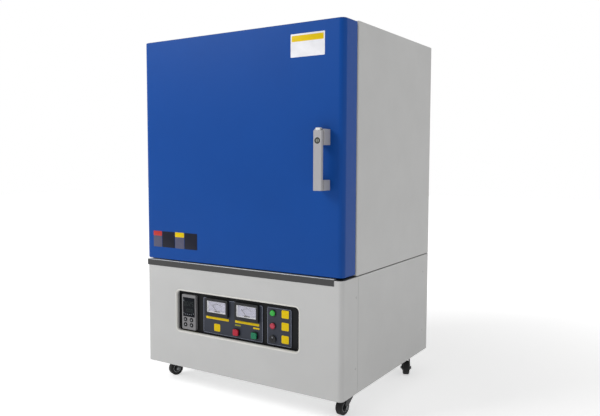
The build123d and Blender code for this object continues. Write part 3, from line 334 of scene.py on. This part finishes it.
def plaque(centre, size, radius, thickness, bevel=0.0002):
    """Rounded slab on a plane that looks to the front: its outline at depth y, then drawn in by
    bevel * (1 - cos t) while y falls by bevel * sin t, t over a quarter turn."""
    turn = np.linspace(0, pi / 2, 4)
    inset = np.concatenate([[0], bevel * (1 - np.cos(turn))])
    depth = np.concatenate([[0], thickness - bevel + bevel * np.sin(turn)])
    rings = np.stack([
        rounded_outline(size[0] - 2 * i, size[1] - 2 * i, max(radius - i, 0.00005)) for i in inset])
    return stacked(on_front(centre, rings, -depth))


def flat_ring(centre, outer, inner, thickness):
    """Printed ring on a plane that looks to the front, between two rounded outlines (width, height, radius):
    the section is a rectangle, so the rings run out, forward, in and back."""
    rings = np.stack([rounded_outline(*shape) for shape in (outer, outer, inner, inner)])
    return ring_round(on_front(centre, rings, -np.array([0, thickness, thickness, 0])))


def turned(profile, centre, axis, steps=40):
    """Turned rings: each (radius, along) of the profile swept round the axis."""
    axis = Vector(axis).normalized()
    first = axis.orthogonal().normalized()
    second = axis.cross(first)
    angle = np.linspace(0, 2 * pi, steps, endpoint=False)
    circle = np.cos(angle)[:, None] * np.array(first) + np.sin(angle)[:, None] * np.array(second)
    profile = np.array(profile)
    return np.array(centre) + profile[:, 0, None, None] * circle + profile[:, 1, None, None] * np.array(axis)


def turned_solid(profile, centre, axis, steps=40):
    """Solid of revolution whose profile starts and ends near the axis."""
    return stacked(turned(profile, centre, axis, steps))


def turned_ring(profile, centre, axis, steps=40):
    """Ring of revolution whose closed profile never meets the axis: the last ring joins the first."""
    return ring_round(turned(profile, centre, axis, steps))


def pan_head(radius, height, centre, axis):
    """Pan-head screw with a cross recess. Height over the seat: height * (1 - (r / radius)^4)^(1/2), less a
    recess where |u| or |v| is under half its width and r is under 0.6 of the radius."""
    steps, rows = 64, 14
    r = radius * (1 - np.linspace(0, 1, rows) ** 1.3)[:, None]
    angle = np.linspace(0, 2 * pi, steps, endpoint=False)[None, :]
    u, v = r * np.cos(angle), r * np.sin(angle)
    crown = height * np.sqrt(np.clip(1 - (r / radius) ** 4, 0, 1)) + 0 * angle
    in_cross = (np.minimum(abs(u), abs(v)) < 0.13 * radius) & (r < 0.6 * radius)
    crown = np.where(in_cross, crown - 0.45 * height, crown)
    axis = Vector(axis).normalized()
    first = axis.orthogonal().normalized()
    second = axis.cross(first)
    rings = (np.array(centre) + u[..., None] * np.array(first) + v[..., None] * np.array(second)
             + crown[..., None] * np.array(axis))
    return stacked(rings)


def strokes(lines, width, depth_y, thickness):
    """Flat bars on a plane that looks to the front, one for each line (x0, z0, x1, z1): its four corners are
    the ends moved half a width to each side along the line's normal."""
    lines = np.asarray(lines, float).reshape(-1, 2, 2)
    run = lines[:, 1] - lines[:, 0]
    normal = np.stack([-run[:, 1], run[:, 0]], 1) / np.linalg.norm(run, axis=1)[:, None] * width / 2
    corners = np.stack([
        lines[:, 0] + normal, lines[:, 0] - normal, lines[:, 1] - normal, lines[:, 1] + normal], 1)
    front = np.insert(corners, 1, depth_y - thickness, axis=2)
    back = np.insert(corners, 1, depth_y, axis=2)
    points = np.concatenate([front, back], 1).reshape(-1, 3)
    box = np.array([[0, 1, 2, 3], [7, 6, 5, 4], [0, 4, 5, 1], [1, 5, 6, 2], [2, 6, 7, 3], [3, 7, 4, 0]])
    faces = box[None] + 8 * np.arange(len(lines))[:, None, None]
    return points, faces.reshape(-1, 4).tolist()


def arc_lines(centre, radius, first, last, count):
    """Chords of an arc, centre + radius * (sin t, cos t), as lines for strokes."""
    t = np.linspace(first, last, count + 1)
    ring = np.array(centre) + radius * np.stack([np.sin(t), np.cos(t)], 1)
    return np.concatenate([ring[:-1], ring[1:]], 1)


def tick_lines(centre, inner, outer, first, last, count):
    """Radial ticks between two radii at even angles, as lines for strokes."""
    t = np.linspace(first, last, count)
    way = np.stack([np.sin(t), np.cos(t)], 1)
    return np.concatenate([np.array(centre) + inner * way, np.array(centre) + outer * way], 1)


def joined(*shapes):
    """Several (points, faces) shapes as one."""
    points, faces, start = [], [], 0
    for shape_points, shape_faces in shapes:
        points.append(np.asarray(shape_points).reshape(-1, 3))
        faces += [[corner + start for corner in face] for face in shape_faces]
        start += len(points[-1])
    return np.concatenate(points), faces


SEGMENTS = {"0": "abcdef", "1": "bc", "2": "abged", "3": "abgcd", "4": "fgbc", "5": "afgcd", "6": "afgedc",
            "7": "abc", "8": "abcdefg", "9": "abcdfg", "-": "g"}
SEGMENT_ENDS = {"a": (0, 1, 1, 1), "b": (1, 1, 1, 0.5), "c": (1, 0.5, 1, 0), "d": (0, 0, 1, 0),
                "e": (0, 0.5, 0, 0), "f": (0, 1, 0, 0.5), "g": (0, 0.5, 1, 0.5)}


def numerals(text, corner, height, pitch):
    """Lines of seven-segment numerals from their lower left corner, half as wide as high, each segment
    shortened so that it stands clear of the next."""
    clear = 0.86
    lines = []
    for index, sign in enumerate(text):
        for segment in SEGMENTS[sign]:
            ends = np.array(SEGMENT_ENDS[segment]).reshape(2, 2) * [height / 2, height]
            ends = ends.mean(0) + (ends - ends.mean(0)) * clear
            lines.append((ends + np.array(corner) + [index * pitch, 0]).ravel())
    return np.array(lines)


# Stage


FLOOR_REACH = 9.0
SHADE_STARTS, SHADE_ENDS = 0.3, 2.5
FLOOR_NEAR_GLOW = 0.66
PHOTO_WIDTH, FOCAL_PIXELS, SHIFT_PIXELS, SENSOR = 600, 667.0, 50, 36
EYE, YAW, PITCH, ROLL = (1.0020, -1.6459, 0.6360), 34.875, 4.329, -0.145


def look_matrix(eye, yaw, pitch, roll):
    """Camera pose: looks along (-sin yaw cos pitch, cos yaw cos pitch, -sin pitch), then rolls
    about that line."""
    ahead = Vector((-sin(yaw) * cos(pitch), cos(yaw) * cos(pitch), -sin(pitch)))
    right = Vector((cos(yaw), sin(yaw), 0))
    up = right.cross(ahead)
    rolled_right = right * cos(roll) + up * sin(roll)
    rolled_up = up * cos(roll) - right * sin(roll)
    turn = Matrix((rolled_right, rolled_up, -ahead)).transposed().to_4x4()
    return Matrix.Translation(eye) @ turn


class OBJECT_OT_furnace_stage(bpy.types.Operator):
    """Floor, surroundings, soft lamps and the camera at the photograph's angle."""
    bl_idname = "furnace.stage"
    bl_label = "Studio and camera"

    def execute(self, context):
        studio = context.scene.furnace_studio
        side = np.array([-FLOOR_REACH, FLOOR_REACH])
        x, y = np.meshgrid(side, side)
        corners = np.stack([x.ravel(), y.ravel(), np.zeros(4)], 1)
        mesh = bpy.data.meshes.new("floor")
        mesh.from_pydata(corners.tolist(), [], [(0, 1, 3, 2)])
        floor = bpy.data.objects.new("floor", mesh)
        context.collection.objects.link(floor)
        finish = Finish("floor_paper", 0.9)
        finish.colour(finish.mix(finish.noise(3, 2), darker(studio.floor, 0.99), studio.floor))
        x, y = finish.axis("X"), finish.axis("Y")
        far = finish.ramp(x * x + y * y, SHADE_STARTS, SHADE_ENDS)
        finish.set("Emission Color", finish.mix(far, (FLOOR_NEAR_GLOW,) * 3, (1, 1, 1)))
        finish.set("Emission Strength", studio.glow)
        mesh.materials.append(finish.material)

        world = bpy.data.worlds.new("studio_room")
        context.scene.world = world
        world.use_nodes = True
        tree = world.node_tree
        room, seen = tree.nodes["Background"], tree.nodes.new("ShaderNodeBackground")
        for background, strength in ((room, studio.world), (seen, 1.0)):
            background.inputs["Color"].default_value = (1, 1, 1, 1)
            background.inputs["Strength"].default_value = strength
        path = tree.nodes.new("ShaderNodeLightPath")
        ray = path.outputs["Is Camera Ray"]
        for other in ("Is Glossy Ray", "Is Transmission Ray"):
            either = tree.nodes.new("ShaderNodeMath")
            either.operation = "MAXIMUM"
            tree.links.new(ray, either.inputs[0])
            tree.links.new(path.outputs[other], either.inputs[1])
            ray = either.outputs[0]
        choose = tree.nodes.new("ShaderNodeMixShader")
        for index, socket in enumerate((ray, room.outputs[0], seen.outputs[0])):
            tree.links.new(socket, choose.inputs[index])
        tree.links.new(choose.outputs[0], tree.nodes["World Output"].inputs["Surface"])

        for name, spot, aim, size, power in (
                ("key_light", (-1.8, -2.3, 2.25), (0, -0.2, 0.8), 1.5, studio.key),
                ("fill_light", (2.8, -0.6, 0.9), (0, 0, 0.3), 1.6, studio.fill)):
            lamp = bpy.data.lights.new(name, "AREA")
            lamp.size = size
            lamp.energy = power
            light = bpy.data.objects.new(name, lamp)
            light.location = spot
            light.rotation_euler = (Vector(aim) - Vector(spot)).to_track_quat("-Z", "Y").to_euler()
            context.collection.objects.link(light)

        lens = bpy.data.cameras.new("photograph_angle")
        lens.sensor_width = SENSOR
        lens.lens = SENSOR * FOCAL_PIXELS / PHOTO_WIDTH
        lens.shift_x = SHIFT_PIXELS / PHOTO_WIDTH
        camera = bpy.data.objects.new("photograph_angle", lens)
        camera.matrix_world = look_matrix(EYE, radians(YAW), radians(PITCH), radians(ROLL))
        context.collection.objects.link(camera)
        context.scene.camera = camera
        context.scene.view_settings.view_transform = "Standard"
        return {"FINISHED"}


# Finishes of the CAD pieces


class OBJECT_OT_furnace_finishes(bpy.types.Operator):
    """Gives every CAD piece its finish: coats, metals, plastics, fibre and glass."""
    bl_idname = "furnace.finishes"
    bl_label = "Finishes"

    def execute(self, context):
        shade = shades()
        steel = hex_shade("b5b5b3")
        body = powder_coat("body_coat", shade.body)
        inner = brushed("zinc_sheet", hex_shade("9a9b9c"), (1, 1, 0.1), 0.42)
        stainless = brushed("stainless_sheet", steel, (0.05, 1, 1), 0.3)
        black = moulded("black_moulded", shade.black)
        fibre = fibrous("fibre_board", hex_shade("e2ddd0"))
        ceramic = fibrous("fired_ceramic", hex_shade("cdbfa8"), 500, 0.0002)
        groups = (
            (body, ("cabinet_front_panel", "cabinet_side_panels", "cabinet_rear_panel", "casing_side_panels",
                    "casing_top", "casing_rear_cover")),
            (powder_coat("door_coat", shade.door, roughness=0.36, gloss=0.12), ("door_shell",)),
            # Near-black coat: the instrument tray is a black plate, while on the cabinet deck the near-black
            # is painted shade for the shadow in the gap under the door.
            (powder_coat("black_coat_and_gap_shade", hex_shade("101113"), gloss=0.15), ("cabinet_deck", "instrument_tray")),
            (powder_coat("frame_coat", hex_shade("8f9090")), ("cabinet_frame", "casing_floor")),
            (stainless, ("front_frame", "door_cover", "hinge_brackets")),
            (inner, ("inner_box", "latch_lever", "latch_bracket", "caster_mounts")),
            (fibre, ("fibre_floor_and_roof", "fibre_walls", "fibre_ends", "door_insulation")),
            (fibrous("seal_rope", hex_shade("d8d2c2"), 420, 0.0012), ("door_seal",)),
            (ceramic, ("hearth_plate", "element_holders", "thermocouple")),
            (brushed("element_wire", hex_shade("4a443f"), (1, 1, 0.2), 0.6), ("heating_elements",)),
            (brushed("bush_brass", hex_shade("b08d4a"), (1, 1, 0.1), 0.3), ("hinge_bushes",)),
            (powder_coat("handle_silver", hex_shade("a3a2a5"), 1500, 0.34), ("handle_body",)),
            (moulded("controller_grey", hex_shade("7a797b"), 0.4), ("controller_case",)),
            (black, ("meter_cases", "panel_bezels", "fan_housing", "fan_rotor", "cable_gland",
                     "key_switch_rotor")),
            (moulded("white_moulded", hex_shade("dcdcda")), ("thumb_button",)),
            (powder_coat("slate_anodised", shade.plate, 1400, 0.38, 0.25), ("instrument_plates",)),
            (moulded("red_cap", shade.stop, 0.25, 2400), ("stop_button",)),
            (moulded("green_cap", shade.start, 0.25, 2400), ("start_button",)),
            (moulded("key_rubber", hex_shade("0e0f12"), 0.5),
             tuple(f"controller_key_{i}" for i in range(1, 5))),
            (moulded("needle_lacquer", shade.ink, 0.5), ("meter_needle_left", "meter_needle_right")),
            (brushed("core_sheets", hex_shade("5a5048"), (1, 1, 0.05), 0.5, 900), ("transformer",)),
            (brushed("extruded_sink", hex_shade("a8aaac"), (1, 0.05, 1), 0.35), ("power_regulator",)),
        )
        for finish, nodes in groups:
            for node in nodes:
                assign(node, finish)
        # Edge strip: the face is painted dark grey as a painted reflection of dark surroundings in the steel,
        # and the top 1.2 mm is a painted highlight, pale, for the light the top flange catches.
        strip = brushed("edge_strip_with_painted_sheen", hex_shade("8a8d92"), (0.05, 1, 1), 0.35)
        highlight_band_height = 0.0012
        painted_highlight_top = strip.axis("Z") > high("edge_strip", 2) - highlight_band_height
        strip.colour(strip.mix(painted_highlight_top, hex_shade("454545"), hex_shade("c9cbcd")))
        strip.set("Metallic", 0.2)
        strip.set("Specular IOR Level", 0.15)
        assign("edge_strip", strip)
        lock = Finish("lock_steel", 0.3, 0.3)
        across = lock.axis("X") - middle("lock_cylinder", 0)
        above = lock.axis("Z") - middle("lock_cylinder", 2)
        plug, face = 0.003, 0.0045
        rim = lock.ramp(across * across + above * above, plug ** 2, face ** 2)
        lock.colour(lock.mix(rim, hex_shade("85887f"), hex_shade("2b2e29")))
        lock.bump(lock.noise(900, 2), 0.1, 0.00004)
        assign("lock_cylinder", lock)
        lens = Finish("lamp_lens", 0.18)
        upper = lens.axis("Z") > middle("lamps", 2)
        lens.colour(lens.mix(upper, shade.red_lamp, shade.green_lamp))
        lens.set("Emission Color", lens.mix(upper, shade.red_lamp, shade.green_lamp))
        lens.set("Emission Strength", 0.12)
        lens.bump(lens.noise(500, 1), 0.2, 0.0001)
        assign("lamps", lens)
        glass = Finish("window_glass", 0.05)
        glass.set("Alpha", 0.12)
        glass.set("Roughness", 0.04 + 0.04 * glass.noise(20, 2))
        assign("meter_windows", glass)
        for node in frame["nodes"]:
            if node.startswith("caster_fork"):
                assign(node, powder_coat("fork_coat_" + node, hex_shade("18191b"), 600, 0.3))
            if node.startswith("caster_wheel"):
                assign(node, moulded("wheel_enamel_" + node, hex_shade("1b1b1c"), 0.7, 700))
        return {"FINISHED"}


# Pieces that only Blender makes


class OBJECT_OT_furnace_labels(bpy.types.Operator):
    """Bare label plates of the door and the panel, printed in plain colours."""
    bl_idname = "furnace.labels"
    bl_label = "Labels"

    def execute(self, context):
        shade = shades()
        front = low("door_shell", 1)
        foil = {name: moulded("foil_" + name, colour, 0.35, 900, 0.12) for name, colour in (
            ("yellow", shade.label), ("white", hex_shade("e6e6ea")), ("black", hex_shade("1a1b28")),
            ("grey", hex_shade("55556a")), ("red", hex_shade("b53a36")), ("olive", hex_shade("8b8a2c")))}
        under, over, corner = 0.3, 0.45, 0.0016
        for name, foil_name, left, right, bottom, top, proud in (
                ("door_card", "white", 166, 257.5, 871, 925, under),
                ("door_card_band", "yellow", 169, 254.5, 907, 921, over),
                ("plate_block_1", "grey", -281, -250, 389, 433, under),
                ("plate_block_2", "black", -249, -203, 389, 433, under),
                ("plate_block_3", "grey", -202, -170, 389, 433, under),
                ("plate_block_4", "black", -169, -124.5, 389, 433, under),
                ("plate_band_1", "red", -281, -250, 420, 433, over),
                ("plate_band_3", "yellow", -202, -170, 420, 433, over)):
            shape = plaque(((left + right) / 2000, front, (bottom + top) / 2000),
                           ((right - left) / 1000, (top - bottom) / 1000), corner, proud / 1000, 0.0001)
            add_piece(name, *shape, foil[foil_name], "door", "white_plastic")
        plate = low("instrument_plates", 1)
        tray = low("instrument_tray", 1)
        for name, foil_name, place, size, radius, seat in (
                ("strip_under_controller", "olive", (-158, 158.5), (49, 6), 1.0, tray),
                ("bar_left_meter", "yellow", (-67, 209.6), (76, 6.4), 2.4, plate),
                ("bar_right_meter", "yellow", (29, 210.4), (76, 6.4), 2.4, plate),
                ("tag_stop", "olive", (0, 201), (19, 4), 1.0, plate),
                ("tag_start", "yellow", (58, 201), (19, 4), 1.0, plate),
                ("tag_panel", "yellow", (-68, 185), (20, 20), 3.0, plate),
                ("tag_lamp_green", "yellow", (144.5, 248.6), (21, 20), 2.5, plate),
                ("tag_lamp_red", "yellow", (144.5, 217.6), (21, 20), 2.5, plate),
                ("tag_key", "yellow", (144.5, 185), (21, 20), 2.5, plate)):
            shape = plaque((place[0] / 1000, seat, place[1] / 1000), (size[0] / 1000, size[1] / 1000),
                           radius / 1000, 0.0003, 0.0001)
            add_piece(name, *shape, foil[foil_name], "furnace", "white_plastic")
        # Window lip: a rounded edge round the panel's window, coated paler than the body paint it is part of;
        # the paler coat is a painted highlight for the light the lip catches from above.
        panel = low("cabinet_front_panel", 1)
        window_x, window_z, width, height, radius = -0.0045, 0.218, 0.392, 0.114, 0.013
        insets = np.array([-2.6, -2.3, -1.6, -0.8, 0.2, 1.2, 2.0, 2.3, 2.3, -0.2]) / 1000
        depths = np.array([0.0, -0.4, -0.7, -0.75, -0.4, 0.5, 1.8, 3.4, 6.0, 6.0]) / 1000
        rings = np.stack([
            rounded_outline(width - 2 * i, height - 2 * i, radius - i, 10) for i in insets])
        add_piece("window_lip", *ring_round(on_front((window_x, panel, window_z), rings, depths)),
                  powder_coat("lip_coat_painted_highlight", hex_shade("d3d2cd")), "furnace", "body_paint", smooth=50)
        outline = []
        for centre_x, width in ((-18.5, 193), (127, 72)):
            ring = rounded_outline((width - 3) / 1000, 0.093, 0.003)
            ring = ring + [centre_x / 1000, 0.2145]
            outline.append(np.concatenate([ring, np.roll(ring, -1, axis=0)], 1))
        add_piece("plate_outline_print", *strokes(np.concatenate(outline), 0.0007, plate, 0.00008),
                  moulded("print_pale", hex_shade("8f95a6"), 0.5), "furnace", "white_plastic")
        return {"FINISHED"}


class OBJECT_OT_furnace_controller(bpy.types.Operator):
    """Controller front: dark glass over the display, faint numerals, key field and key marks."""
    bl_idname = "furnace.controller"
    bl_label = "Controller front"

    def execute(self, context):
        shade = shades()
        case = low("controller_case", 1)
        recess, print_depth = case + 0.001, 0.00006
        black_glass = Finish("display_glass", 0.12)
        black_glass.colour(black_glass.mix(black_glass.noise(60, 2), hex_shade("0a0c10"), hex_shade("10141b")))
        black_glass.set("Specular IOR Level", 0.08)
        rotor = "key_switch_rotor"
        mark = (middle(rotor, 0), low(rotor, 1), middle(rotor, 2) + 0.0042)
        add_piece("key_switch_mark", *plaque(mark, (0.0014, 0.0032), 0.0006, 0.0002), moulded(
            "mark_pale", hex_shade("c9ccd6"), 0.4), rotor + "_body", "white_plastic")
        glass_thickness = 0.0004
        add_piece("display_screen", *plaque(
            (-0.16, recess, 0.2295), (0.0416, 0.0526), 0.001, glass_thickness), black_glass, "furnace",
            "black_plastic")
        unlit = moulded("numerals_unlit", hex_shade("16211e"), 0.4)
        lines = np.concatenate([
            numerals("0025", (-0.1775, 0.2335), 0.011, 0.0092),
            numerals("1000", (-0.1735, 0.2165), 0.008, 0.0072)])
        screen = recess - glass_thickness
        add_piece("display_numerals", *strokes(lines, 0.0011, screen, print_depth), unlit, "furnace",
                  "white_plastic")
        dots = np.array([[x, z, x + 0.0022, z] for x, z in (
            (-0.1795, 0.2495), (-0.1795, 0.2455), (-0.1795, 0.2125), (-0.1735, 0.2095), (-0.1665, 0.2095),
            (-0.1595, 0.2095), (-0.1525, 0.2095), (-0.1455, 0.2125))])
        add_piece("display_marks", *strokes(dots, 0.0012, screen, print_depth),
                  moulded("marks_pale", hex_shade("9aa0a8"), 0.5), "furnace", "white_plastic")
        surround = moulded("key_surround", hex_shade("101114"), 0.5, 900, 0.1)
        ring_outer, ring_inner = (0.0128, 0.0118, 0.0056), (0.0106, 0.0086, 0.0034)
        mark_radius = 0.0018
        for number in range(1, 5):
            key = f"controller_key_{number}"
            x, z, y = middle(key, 0), middle(key, 2), low(key, 1)
            add_piece(f"key_surround_{number}", *flat_ring(
                (x, case, z), ring_outer, ring_inner, 0.00012), surround, "furnace", "black_plastic")
            angle = {1: pi, 2: pi / 2, 3: 3 * pi / 2, 4: 0}[number]
            corners = np.array([x, z]) + mark_radius * np.stack([
                np.sin(angle + np.array([0, 2, 4]) * pi / 3), np.cos(angle + np.array([0, 2, 4]) * pi / 3)], 1)
            lines = np.concatenate([corners, np.roll(corners, -1, axis=0)], 1)
            add_piece(f"key_mark_{number}", *strokes(lines, 0.0007, y, 0.00008),
                      moulded(f"key_print_{number}", hex_shade("c8cad0"), 0.5), key + "_body", "white_plastic")
        return {"FINISHED"}


class OBJECT_OT_furnace_dials(bpy.types.Operator):
    """Meter dials: pale card, white well, scale arcs, ticks and numbers."""
    bl_idname = "furnace.dials"
    bl_label = "Meter dials"

    def execute(self, context):
        shade = shades()
        card = Finish("dial_card", 0.6)
        card.colour(card.mix(card.noise(90, 2), darker(shade.dial, 0.95), shade.dial))
        card.bump(card.noise(1500, 1), 0.1, 0.00003)
        well = moulded("dial_well", hex_shade("eeeef2"), 0.3, 600)
        ink = moulded("dial_ink", shade.ink, 0.6)
        front = low("meter_cases", 1)
        face, card_thickness = front + 0.005, 0.0002
        print_face = face - card_thickness
        width, height, z = 0.062, 0.0305, 0.2407
        pivot_z, half = 0.22845, radians(45)
        arc, long_tick, short_tick, numbers_at = 0.0195, 0.0222, 0.0209, 0.0246
        for hand, x in (("left", -0.066), ("right", 0.0305)):
            add_piece("dial_card_" + hand, *plaque(
                (x, face, z), (width, height), 0.0004, card_thickness, 0.00005), card, "furnace",
                "white_plastic")
            insets = np.array([0.0001, 0.0022, 0.0022, 0.0001])
            depths = np.array([front + 0.0016, face - 0.0003, print_face, print_face])
            rings = np.stack([rounded_outline(width - 2 * i, height - 2 * i, 0.0005, 1) for i in insets])
            add_piece("dial_well_" + hand, *ring_round(on_front((x, 0.0, z), rings, depths)), well, "furnace",
                      "white_plastic", smooth=10)
            centre = (x, pivot_z)
            lines = np.concatenate([
                arc_lines(centre, arc, -half, half, 24), tick_lines(centre, arc, long_tick, -half, half, 11),
                tick_lines(centre, arc, short_tick, -half, half, 51)])
            numbers = np.concatenate([
                numerals(text, (x + numbers_at * sin(a) - 0.0008 * len(text),
                                pivot_z + numbers_at * cos(a) - 0.0012), 0.0024, 0.0018)
                for text, a in (("0", -half), ("1", -half / 2), ("2", 0), ("3", half / 2), ("4", half))])
            add_piece("dial_scale_" + hand, *joined(
                strokes(lines, 0.0003, print_face, 0.00004),
                strokes(numbers, 0.0003, print_face, 0.00004)), ink, "furnace", "needle")
            add_piece("needle_cover_" + hand, *plaque(
                (x, print_face, 0.2276), (0.02, 0.0042), 0.0015, 0.0006),
                moulded("needle_cover_" + hand, shade.ink), "furnace", "black_plastic")
        return {"FINISHED"}


class OBJECT_OT_furnace_fasteners(bpy.types.Operator):
    """Panel screws, axle bolts and the pale rings on the caster wheels."""
    bl_idname = "furnace.fasteners"
    bl_label = "Fasteners and wheel rings"

    def execute(self, context):
        zinc = brushed("screw_zinc", hex_shade("808284"), (1, 1, 1), 0.3, 900)
        side, sunk = high("cabinet_side_panels", 0), 0.0017
        screws = []
        for hand in (-1, 1):
            for y, z in ((-0.2045, 0.1255), (-0.2045, 0.3), (0.24, 0.1255), (0.24, 0.3)):
                screws.append(pan_head(0.0048, 0.0018, (hand * (side - sunk), y, z), (hand, 0, 0)))
        add_piece("cabinet_screws", *joined(*screws), zinc, "furnace", "zinc", smooth=50)
        back = high("cabinet_rear_panel", 1)
        rear = [pan_head(0.0036, 0.0018, (x, back, z), (0, 1, 0))
                for x in (-0.27, 0.27) for z in (0.08, 0.33, 0.37, 0.65, 0.93)]
        add_piece("rear_screws", *joined(*rear), zinc, "furnace", "zinc", smooth=50)
        pale = moulded("wheel_ring", hex_shade("8b8d90"), 0.5)
        ring_profile = [(0.0104, 0), (0.0104, 0.0014), (0.0107, 0.0018), (0.0114, 0.0018), (0.0118, 0.0014),
                        (0.0118, 0)]
        bolt_profile = [(0.0001, 0), (0.0048, 0), (0.005, 0.0006), (0.005, 0.0016), (0.0045, 0.0022),
                        (0.0024, 0.0025), (0.0022, 0.0014), (0.0001, 0.0014)]
        ring_seat, bolt_seat, hexagon = 0.0066, 0.01305, 6
        for name in ("front_left", "front_right", "rear_left", "rear_right"):
            wheel, fork = "caster_wheel_" + name, "caster_fork_" + name
            joint = next(j for j in frame["joints"] if j["name"] == "caster_wheel_spin_" + name)
            axis = np.array(joint["axis"], float)
            centre = np.array([middle(wheel, 0), middle(wheel, 1), middle(wheel, 2)])
            rings, bolts = [], []
            for face in (-1, 1):
                way = face * axis
                rings.append(turned_ring(ring_profile, centre + ring_seat * way, way, 48))
                bolts.append(turned_solid(bolt_profile, centre + bolt_seat * way, way, hexagon))
            add_piece("wheel_rings_" + name, *joined(*rings), pale, wheel + "_body", "stainless")
            add_piece("axle_bolts_" + name, *joined(*bolts), zinc, fork + "_body", "zinc", smooth=20)
        return {"FINISHED"}


PIECES = (OBJECT_OT_furnace_stage, OBJECT_OT_furnace_finishes, OBJECT_OT_furnace_labels,
          OBJECT_OT_furnace_controller, OBJECT_OT_furnace_dials, OBJECT_OT_furnace_fasteners)


class VIEW3D_PT_furnace(bpy.types.Panel):
    """Lists the furnace's pieces in the sidebar."""
    bl_idname = "VIEW3D_PT_furnace"
    bl_label = "Furnace"
    bl_space_type = "VIEW_3D"
    bl_region_type = "UI"
    bl_category = "Furnace"

    def draw(self, context):
        for piece in PIECES:
            self.layout.operator(piece.bl_idname)


SETTINGS = (("furnace_shades", FurnaceShades), ("furnace_studio", FurnaceStudio))


def register():
    for name, group in SETTINGS:
        bpy.utils.register_class(group)
        setattr(bpy.types.Scene, name, bpy.props.PointerProperty(type=group))
    for cls in (*PIECES, VIEW3D_PT_furnace):
        bpy.utils.register_class(cls)


def unregister():
    for cls in reversed((*PIECES, VIEW3D_PT_furnace)):
        bpy.utils.unregister_class(cls)
    for name, group in reversed(SETTINGS):
        delattr(bpy.types.Scene, name)
        bpy.utils.unregister_class(group)


def main():
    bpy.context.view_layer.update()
    register()
    for piece in PIECES:
        group, name = piece.bl_idname.split(".")
        getattr(getattr(bpy.ops, group), name)()


if __name__ == "__main__":
    main()
